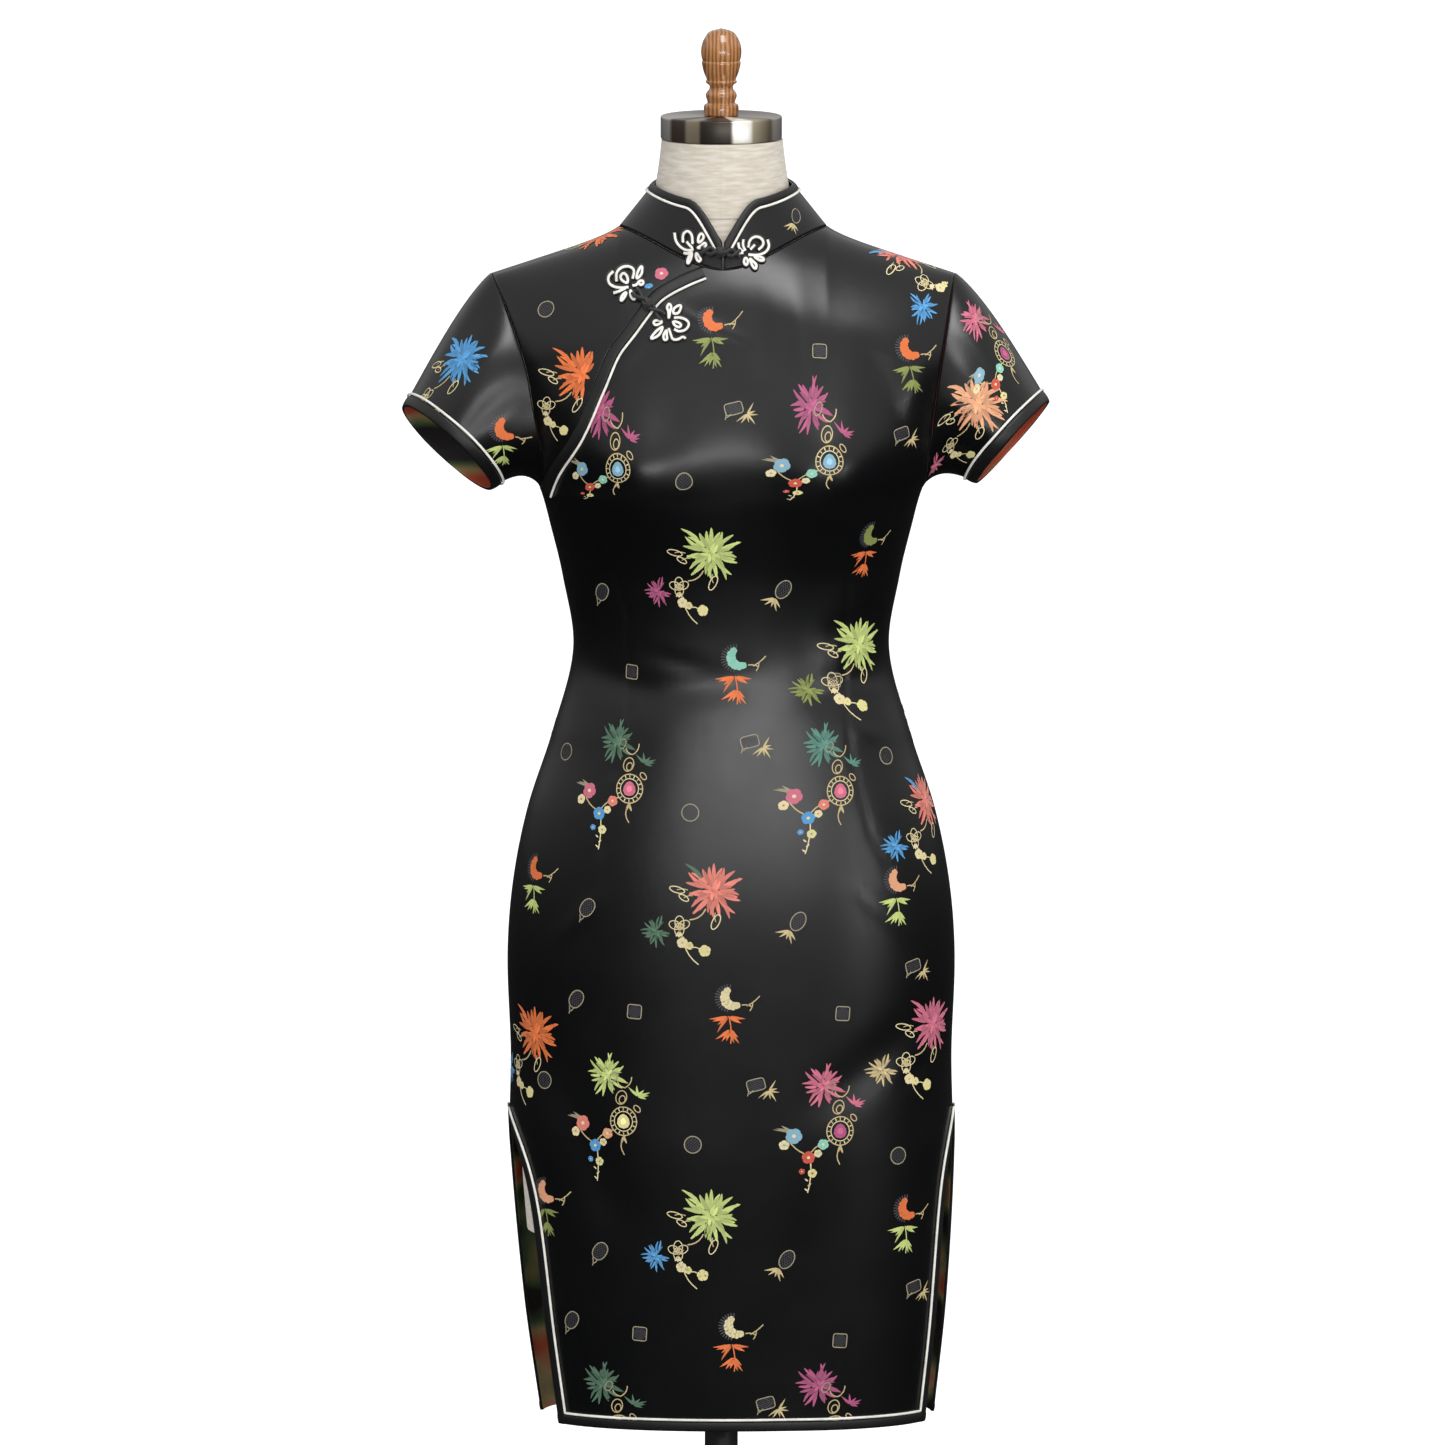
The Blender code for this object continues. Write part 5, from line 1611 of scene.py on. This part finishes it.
def spray(shape, main, side):
    """A large chrysanthemum with a rosebud, a smaller flower and a twig."""
    strokes(shape, (
        ((-8, -18), (-24, -29), 0.15, 1.3, "gold"),
        ((-30, -46), (-15, -74), -0.12, 1.1, "cream"),
        ((-24, -58), (-12, -60), 0.2, 1.0, "cream"),
    ))
    mum(shape, 0, 0, 28, main, main, petals=24)
    petal(shape, (-12, 12), -28, 22, 4.4, side if main == "coral" else main, -0.40, 0.05)
    buds = (((-37, 1), (7, 17), -75), ((-30, -7), (6, 12), -60), ((2, -31), (8, 17), 25))
    for middle, size, turn in buds:
        outline(shape, middle, size, turn, 1.0, "cream", level=0.05)
        stroke(shape, bow(middle, (middle[0] * 0.7, middle[1] * 0.7), 0.1, 4), 0.9, "gold")
    mum(shape, -57, -41, 15, side, side, 100.0, 400.0, petals=15)
    rose(shape, -34, -36, 11)
    blossoms(shape, (
        (-31, -52, 5.5, "cream", "gold"), (-24, -55, 4, "yellow", "gold"),
        (-9, -60, 6, "yellow", "cream"),
    ))


def medallion_spray(shape, main, disc, large, middle, right, berry="yellow"):
    """A fretted medallion hung on a flowering twig."""
    strokes(shape, (
        ((-10, -9), (-32, -26), -0.12, 1.2, "gold"),
        ((-50, -8), (-30, -24), -0.1, 1.2, "gold"),
        ((-30, -22), (-31, -62), 0.05, 1.1, "cream"),
        ((0, -34), (2, -14), 0.2, 1.1, "gold"),
        ((2, 34), (9, 45), -0.15, 1.1, "gold"),
        ((2, 34), (-6, 40), 0.15, 1.1, "gold"),
    ))
    leaves(shape, -46, 0, (-78, -70, -60), 19, 3.2, "dim_gold")
    mum(shape, -17, 46, 21, main, main, petals=19)
    outline(shape, (-10, 44), (8, 12), 30, 1.0, "dim_gold", level=0.25)
    buds = (((-2, 24), (12, 15), 20), ((-1, 22), (7, 9), 20), ((14, 13), (6, 9), -40))
    for place, size, turn in buds:
        outline(shape, place, size, turn, 1.0, "gold", level=0.05)
    leaves(shape, 15, 26, (-50, -10, 40, 75, 92, 110), 13, 3.4, main)
    for reach, line, thread in ((30, 1.1, "gold"), (21, 0.9, "cream")):
        outline(shape, (0, 0), (reach * 0.94, reach), 0, line, thread, level=0.05)
    for number in range(16):
        turn = radians(22.5 * number)
        way = np.array((sin(turn) * 0.94, cos(turn)))
        stroke(shape, (way * 11.0, way * 14.2), 1.0, "cream" if number % 2 else "gold")
    petal(shape, (0, -7.5), 0, 15, 13, disc, 0.0, 0.10, taper=0.4)
    petal(shape, (0, -3.5), 0, 7, 6, disc, 0.0, 0.16, taper=0.4, shade=1.5)
    petal(shape, (0, -15), 160, 8, 2.4, "gold")
    petal(shape, (0, -15), 200, 8, 2.4, "gold")
    blossoms(shape, (
        (-45, -4, 8, large, "cream"), (-54, -13, 5, "cream", large),
        (-17, -13, 5.5, right, "cream"), (-22, -22, 4, "cream", right),
        (-31, -26, 6.5, middle, "yellow"), (-37, -40, 3, middle, "cream"),
        (-27, -42, 4.5, berry, middle),
    ))
    for height in (-50, -55, -60):
        petal(shape, (-31, height), 50 if height == -55 else -50, 4, 1.6, "cream")


def fan(shape, crescent, leaf):
    """A crescent of blossom in a dark ribbed halo, over bamboo leaves."""
    for number in range(15):
        turn = radians(-175 + 13 * number)
        way = np.array((sin(turn), cos(turn)))
        stroke(shape, (way * 6.5, way * 14), 1.1, "smoke", shade=1.6)
    for number in range(7):
        turn = radians(-45 - 26 * number)
        wide = 3.6 + 1.6 * sin(pi * number / 6)
        place = (5 + 9 * sin(turn), 1 + 9 * cos(turn))
        blossom(shape, *place, wide, crescent, crescent, 0.05 + 0.01 * number)
    stroke(shape, bow((13, -7), (24, -9), 0.1, 4), 1.1, "gold")
    stroke(shape, bow((18, -8), (31, 2), -0.05, 4), 1.1, "gold")
    stroke(shape, bow((24, -4), (21, -13), 0.1, 4), 1.0, "gold")
    stroke(shape, bow((0, -18), (2, -46), 0.05), 1.2, leaf)
    leaves(shape, -1, -19, (-100, -112, -126, -140), 19, 4.0, leaf)
    leaves(shape, 1, -19, (100, 114, 130), 16, 4.0, leaf)
    leaves(shape, 1, -32, (-130, -148, 132, 150, 168, 190), 17, 4.2, leaf)


def circle_seal(shape):
    seal(shape, (18, 18), 0, 1.0, 0)


def drop_seal(shape):
    seal(shape, (15, 20), 35, 0.9, -1)


def square_seal(shape):
    seal(shape, (15, 15), 4, 0.35, 0)


def tablet_seal(shape):
    seal(shape, (19, 13), -14, 0.45, -1)
    leaves(shape, 13, -6, (-120, -150, 175, 140, 105, 70, 35), 13, 2.6, "gold")


def oval_seal(shape):
    seal(shape, (15, 21), 32, 1.0, 0)
    leaves(shape, -9, -9, (-100, -130, -160, 175, 145), 14, 3.2, "gold")


# %% [markdown]
# ## Laying the figures on the cloth
#
# A drawing is laid where two values meet on a surface. There its flat x and y are turned into
# steps of those values, so that it follows the body, keeps its size and stands upright. What
# runs over a seam or under the flap is cut off, as in the real panels.

# %% Woven silk
woven, shader, tree = new_material("woven_silk", (0.5, 0.4, 0.2), 0.48)
shader.inputs["Sheen Weight"].default_value = 0.25
shader.inputs["Sheen Roughness"].default_value = 0.3
dyed = tree.nodes.new("ShaderNodeAttribute")
dyed.attribute_name = "thread"
tree.links.new(dyed.outputs["Color"], shader.inputs["Base Color"])
floats = wave(tree, 68, 540.0, 0.8)
tree.links.new(spread(tree, floats, 0.40, 0.58), shader.inputs["Roughness"])
add_bump(tree, shader, floats, 0.6, FINE_BUMP)

PATTERN_LIFT = 0.0003
NUDGE = 1e-3


def new_cloth_pattern():
    shape = bmesh.new()
    shape.loops.layers.float_color.new("thread")
    return shape


def lay(pattern, surface, normals, spot, inside, draw, threads, size):
    """Lay one drawing on a surface, upright, with its middle at the spot."""
    drawing = new_cloth_pattern()
    draw(drawing, *threads)
    drawing.normal_update()
    backward = [face for face in drawing.faces if face.normal.z < 0]
    bmesh.ops.reverse_faces(drawing, faces=backward)
    values = np.array([spot, (spot[0] + NUDGE, spot[1]), (spot[0], spot[1] + NUDGE)])
    here, beside, onward = surface(values[:, 0], values[:, 1])
    normal = normals(values[:1, 0], values[:1, 1])[0]
    up = unit(np.array((0.0, 0.0, 1.0)) - normal * normal[2])
    right = np.cross(up, normal)
    slopes = np.stack([beside - here, onward - here], axis=-1) / NUDGE
    turned_to = np.linalg.lstsq(slopes, np.stack([right, up], axis=-1), rcond=None)[0]
    flat = np.array([vert.co for vert in drawing.verts])
    found = spot + flat[:, :2] * POINT * size @ turned_to.T
    kept = inside(found[:, 0], found[:, 1])
    first, second = found[kept].T
    lifts = PATTERN_LIFT + flat[kept, 2:] * POINT
    placed = surface(first, second) + normals(first, second) * lifts
    verts = list(drawing.verts)
    for vert, place in zip((vert for vert, keep in zip(verts, kept) if keep), placed):
        vert.co = place
    cut = [vert for vert, keep in zip(verts, kept) if not keep]
    bmesh.ops.delete(drawing, geom=cut, context="VERTS")
    mesh = bpy.data.meshes.new("figure")
    drawing.to_mesh(mesh)
    drawing.free()
    pattern.from_mesh(mesh)
    bpy.data.meshes.remove(mesh)


def weave_pattern(name, surface, normals, inside, figures, size=1.0):
    """Lay figures of (spot, drawing, threads) on one piece of cloth."""
    pattern = new_cloth_pattern()
    for spot, draw, threads in figures:
        lay(pattern, surface, normals, np.asarray(spot), inside, draw, threads, size)
    mesh = bpy.data.meshes.new(name)
    pattern.to_mesh(mesh)
    pattern.free()
    made = add_piece(name, mesh, [woven])
    print(name, len(mesh.polygons), "faces")
    return made


def panel_spot(panel, x, height):
    """Values of the panel where it has this x and height, in millimetres."""
    x, height = x / 1000, height / 1000
    spot = np.array((max(-0.9, min(0.9, x / 0.19)), 1.0 if height < ARMPIT else 1.4))
    for _ in range(25):
        values = np.array([spot, spot + (NUDGE, 0), spot + (0, NUDGE)])
        here, beside, onward = panel_points(panel, values[:, 0], values[:, 1])[:, ::2]
        slopes = np.stack([beside - here, onward - here], axis=-1) / NUDGE
        step = np.linalg.solve(slopes, np.array((x, height)) - here)
        spot = np.clip(spot + np.clip(step, -0.25, 0.25), (-0.96, 0.0), (0.96, 1.99))
    return spot


# %% Figures of the front
MAGENTA_BLUE = ("magenta", "light_blue", "light_blue", "red", "aqua")
GREEN_PINK = ("dark_green", "pink", "pink", "blue", "coral")
TEAL_PINK = ("teal", "pink", "pink", "blue", "coral")
GREEN_YELLOW = ("light_green", "yellow", "coral", "blue", "peach")
PINK_MAGENTA = ("pink", "magenta", "light_blue", "red", "aqua")
# Each drawing and where it stands: millimetres from the middle, height, threads
FRONT_FIGURES = (
    (spray, (
        (-8, 1179, "light_green", "magenta"), (-6, 906, "coral", "dark_green"),
        (-8, 640, "light_green", "blue"), (111, 1100, "light_green", "olive"),
        (146, 1430, "coral", "blue"), (165, 970, "coral", "blue"),
        (171, 790, "pink", "gold"), (-150, 783, "orange", "blue"),
    )),
    (medallion_spray, (
        (-83, 1249, *MAGENTA_BLUE), (87, 1256, *MAGENTA_BLUE), (-74, 987, *GREEN_PINK),
        (96, 985, *TEAL_PINK), (-79, 717, *GREEN_YELLOW), (96, 709, *PINK_MAGENTA),
        (-82, 460, *GREEN_PINK), (92, 457, *MAGENTA_BLUE),
    )),
    (fan, (
        (-8, 1367, "orange", "olive"), (11, 1093, "aqua", "orange"),
        (6, 819, "cream", "orange"), (9, 549, "cream", "orange"),
        (150, 1342, "orange", "olive"), (141, 911, "peach", "light_green"),
        (149, 642, "orange", "light_green"), (-150, 918, "orange", "light_green"),
        (-143, 655, "peach", "olive"), (120, 1192, "olive", "orange"),
    )),
    (circle_seal, (
        (-30, 1239), (-25, 969), (-23, 699), (-143, 746), (143, 686), (-125, 1012), (133, 1010),
    )),
    (drop_seal, ((-96, 1144), (-108, 890), (-117, 815), (-98, 609), (-121, 550))),
    (oval_seal, ((50, 1149), (62, 881), (53, 604))),
    (tablet_seal, (
        (10, 1297), (23, 1026), (28, 748), (36, 485), (155, 840), (156, 576), (145, 1274),
    )),
    (square_seal, (
        (79, 1342), (-72, 1080), (98, 805), (-70, 807), (-66, 542), (96, 536), (91, 1073),
    )),
)
EDGE_ROOM = 0.02
PATTERN_TOP = 1.985
PATTERN_FOOT = 0.004

# The flap's edge is looked up once, at many rises above the armpit
TABLE_RISES = np.linspace(1.0005, 2.0, 800)
TABLE_EDGE = flap_edge(TABLE_RISES)


def flap_lookup(rise):
    lower = side_edge(FRONT, LEFT)(rise)
    return np.where(rise > 1, np.interp(rise, TABLE_RISES, TABLE_EDGE), lower)


def inside_of(left, right, lowest):
    """A test for values that lie on a panel, a little inside its edges."""

    def inside(across, rise):
        kept = (across > left(rise) + EDGE_ROOM) & (across < right(rise) - EDGE_ROOM)
        return kept & (rise > lowest) & (rise < PATTERN_TOP)

    return inside


def panel_figures(panel, table):
    """Figures of a panel, from rows of x, height and threads under each drawing."""
    for draw, places in table:
        for x, height, *threads in places:
            yield panel_spot(panel, x, height), draw, threads


front_surface, front_normals = partial(panel_points, FRONT), partial(panel_normals, FRONT)
front_inside = inside_of(flap_lookup, side_edge(FRONT, RIGHT), PATTERN_FOOT)
figures = panel_figures(FRONT, FRONT_FIGURES)
front_pattern = weave_pattern(
    "front_pattern", front_surface, front_normals, front_inside, figures
)

# %% Figures of the upper chest
YOKE_FIGURES = (
    (spray, ((-112, 1322, "orange", "dark_green"), (-99, 1432, "orange", "blue"))),
    (blossom, (
        (-48, 1402, 0, 0, 7, "pink", "cream"), (-58, 1391, 0, 0, 5, "blue", "light_blue"),
    )),
    (circle_seal, ((-141, 1372),)),
)


def yoke_end(rise):
    return flap_lookup(rise) - YOKE_GAP


figures = panel_figures(FRONT, YOKE_FIGURES)
yoke_inside = inside_of(seam_left, yoke_end, YOKE_START)
yoke_pattern = weave_pattern(
    "upper_chest_pattern", front_surface, front_normals, yoke_inside, figures
)

# %% Figures of the back
# The back repeats its columns every 265 millimetres: for each drawing the way aside from
# the column, the way up from its top, and the threads of one repeat after the other
BACK_STEP = 265
BACK_REPEATS = 4
BACK_LOWEST, BACK_HIGHEST = 455, 1425
PLAIN = ((),)
BACK_COLUMNS = (
    (0, 1330, (
        (0, 0, spray, (
            ("coral", "dark_green"), ("light_green", "magenta"), ("light_green", "blue"),
        )),
        (12, 132, fan, (("orange", "olive"), ("aqua", "orange"), ("cream", "orange"))),
        (18, 66, tablet_seal, PLAIN),
        (-22, -74, circle_seal, PLAIN),
    )),
    (-86, 1262, (
        (0, 0, medallion_spray, (MAGENTA_BLUE, GREEN_PINK, PINK_MAGENTA)),
        (6, 92, square_seal, PLAIN),
        (-18, -100, drop_seal, PLAIN),
    )),
    (86, 1252, (
        (0, 0, medallion_spray, (TEAL_PINK, MAGENTA_BLUE, GREEN_YELLOW)),
        (6, 92, square_seal, PLAIN),
        (-26, -104, oval_seal, PLAIN),
    )),
    (-150, 1180, (
        (0, 0, fan, (("peach", "light_green"), ("orange", "olive"))),
        (0, 110, circle_seal, PLAIN),
    )),
    (150, 1310, (
        (0, 0, fan, (("orange", "light_green"), ("peach", "olive"))),
        (0, -140, tablet_seal, PLAIN),
    )),
)


def back_figures():
    """Figures of the back, column by column and repeat by repeat."""
    for column, top, drawings in BACK_COLUMNS:
        for repeat in range(BACK_REPEATS):
            for aside, above, draw, looks in drawings:
                height = top + above - repeat * BACK_STEP
                if BACK_LOWEST < height < BACK_HIGHEST:
                    spot = panel_spot(BACK, column + aside, height)
                    yield spot, draw, looks[repeat % len(looks)]


back_surface, back_normals = partial(panel_points, BACK), partial(panel_normals, BACK)
back_inside = inside_of(side_edge(BACK, LEFT), side_edge(BACK, RIGHT), PATTERN_FOOT)
back_pattern = weave_pattern(
    "back_pattern", back_surface, back_normals, back_inside, back_figures()
)

# %% Figures of the sleeves and the collar
# Where a figure stands on a sleeve: share of a turn from the shoulder, share of its length
SLEEVE_FIGURES = {
    LEFT: (
        ((0.13, 0.55), spray, ("blue", "orange")),
        ((0.30, 0.50), fan, ("orange", "light_green")),
        ((0.86, 0.50), medallion_spray, MAGENTA_BLUE),
        ((0.66, 0.45), tablet_seal, ()),
    ),
    RIGHT: (
        ((0.09, 0.60), medallion_spray, PINK_MAGENTA),
        ((0.24, 0.55), spray, ("peach", "pink")),
        ((0.84, 0.50), spray, ("coral", "blue")),
        ((0.64, 0.45), circle_seal, ()),
    ),
}


def sleeve_inside(turn, along):
    return (along > 0.03) & (along < 0.96)


for side, word in ((LEFT, "left"), (RIGHT, "right")):
    surface, normals = partial(sleeve_points, side), partial(sleeve_normals, side)
    figures = SLEEVE_FIGURES[side]
    weave_pattern(
        f"sleeve_{word}_pattern", surface, normals, sleeve_inside, figures
    )


def collar_inside(turn, share):
    return (share > 0.05) & (share < 0.8)


figures = [((turn, 0.42), oval_seal, ()) for turn in (0.95, 2.6, 3.9)]
collar_pattern = weave_pattern(
    "collar_pattern", collar_points, collar_normals, collar_inside, figures, 0.8
)

# %% [markdown]
# ## A loop left empty
#
# The loop below runs over two areas, one for each side, and does nothing with them.

for side, area in ((LEFT, 0.0370), (RIGHT, 0.0340)):
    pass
print("declared", 6, "sheets")

# %% [markdown]
# ## Light and floor
#
# A pale floor fills the picture, and soft light comes from above. The world is bright overhead
# and dark towards the horizon, so cloth that tilts up turns grey and the steep skirt stays
# black, which is how satin shows its shape. The camera sees that world as plain white, and
# matt surfaces take an even grey from it, which a Light Path node sorts out ray by ray.

# %% World
scene = bpy.context.scene
scene.view_settings.view_transform = "Standard"
world = bpy.data.worlds.new("studio")
scene.world = world
world.use_nodes = True
tree = world.node_tree
# Brightness of the sky that shines on the satin, from straight down to straight up
WORLD_STOPS = (
    (0.0, 0.005), (0.49, 0.01), (0.52, 0.10), (0.58, 0.50), (0.68, 0.75), (0.80, 0.65), (1.0, 0.60),
)
direction = add_node(tree, "TexCoord").outputs["Generated"]
height = add_node(tree, "SeparateXYZ", links={"Vector": direction}).outputs["Z"]
half = add_node(tree, "MapRange", {"From Min": -1}, {"Value": height}).outputs["Result"]
sky = color_ramp(tree, half, [(place, (level,) * 3) for place, level in WORLD_STOPS])
tree.links.new(sky, tree.nodes["Background"].inputs["Color"])
shining = tree.nodes["Background"].outputs["Background"]
soft = add_node(tree, "Background", {"Color": (0.72, 0.73, 0.75, 1)}).outputs["Background"]
white = add_node(tree, "Background", {"Color": (1, 1, 1, 1)}).outputs["Background"]
rays = add_node(tree, "LightPath").outputs
lit = {"Fac": rays["Is Diffuse Ray"], 1: shining, 2: soft}
filled = add_node(tree, "MixShader", links=lit).outputs["Shader"]
seen = {"Fac": rays["Is Camera Ray"], 1: filled, 2: white}
chosen = add_node(tree, "MixShader", links=seen).outputs["Shader"]
tree.links.new(chosen, tree.nodes["World Output"].inputs["Surface"])
print("world:", len(WORLD_STOPS), "levels of brightness")

# %% Floor and lamps
shape = bmesh.new()
bmesh.ops.create_circle(shape, cap_ends=True, radius=90.0, segments=96)
mesh = bpy.data.meshes.new("floor")
shape.to_mesh(mesh)
shape.free()
floor = bpy.data.objects.new("floor", mesh)
scene.collection.objects.link(floor)
pale, shader, tree = new_material("pale_floor", (0.92, 0.92, 0.92), 0.9)
shader.inputs["Specular IOR Level"].default_value = 0.0
shader.inputs["Emission Color"].default_value = (1, 1, 1, 1)
shader.inputs["Emission Strength"].default_value = 0.6
mesh.materials.append(pale)
floor.visible_glossy = False
floor.visible_diffuse = False

Lamp = namedtuple("Lamp", "name place wide high power")
LAMPS = rows_of(Lamp, (
    ("front_softbox", (0.5, -3.9, 1.42), 2.6, 0.32, 40.0),
    ("right_softbox", (2.6, -2.9, 0.98), 0.9, 0.35, 12.0),
    ("top_softbox", (0.5, -1.6, 4.0), 1.4, 1.4, 60.0),
))
for lamp in LAMPS:
    data = bpy.data.lights.new(lamp.name, "AREA")
    data.shape = "RECTANGLE"
    data.size = lamp.wide
    data.size_y = lamp.high
    data.energy = lamp.power
    made = bpy.data.objects.new(lamp.name, data)
    scene.collection.objects.link(made)
    made.location = lamp.place
    aim = Vector((0.0, 0.0, 1.1)) - Vector(lamp.place)
    made.rotation_euler = aim.to_track_quat("-Z", "Y").to_euler()
    made.visible_camera = False
print(len(LAMPS), "lamps")
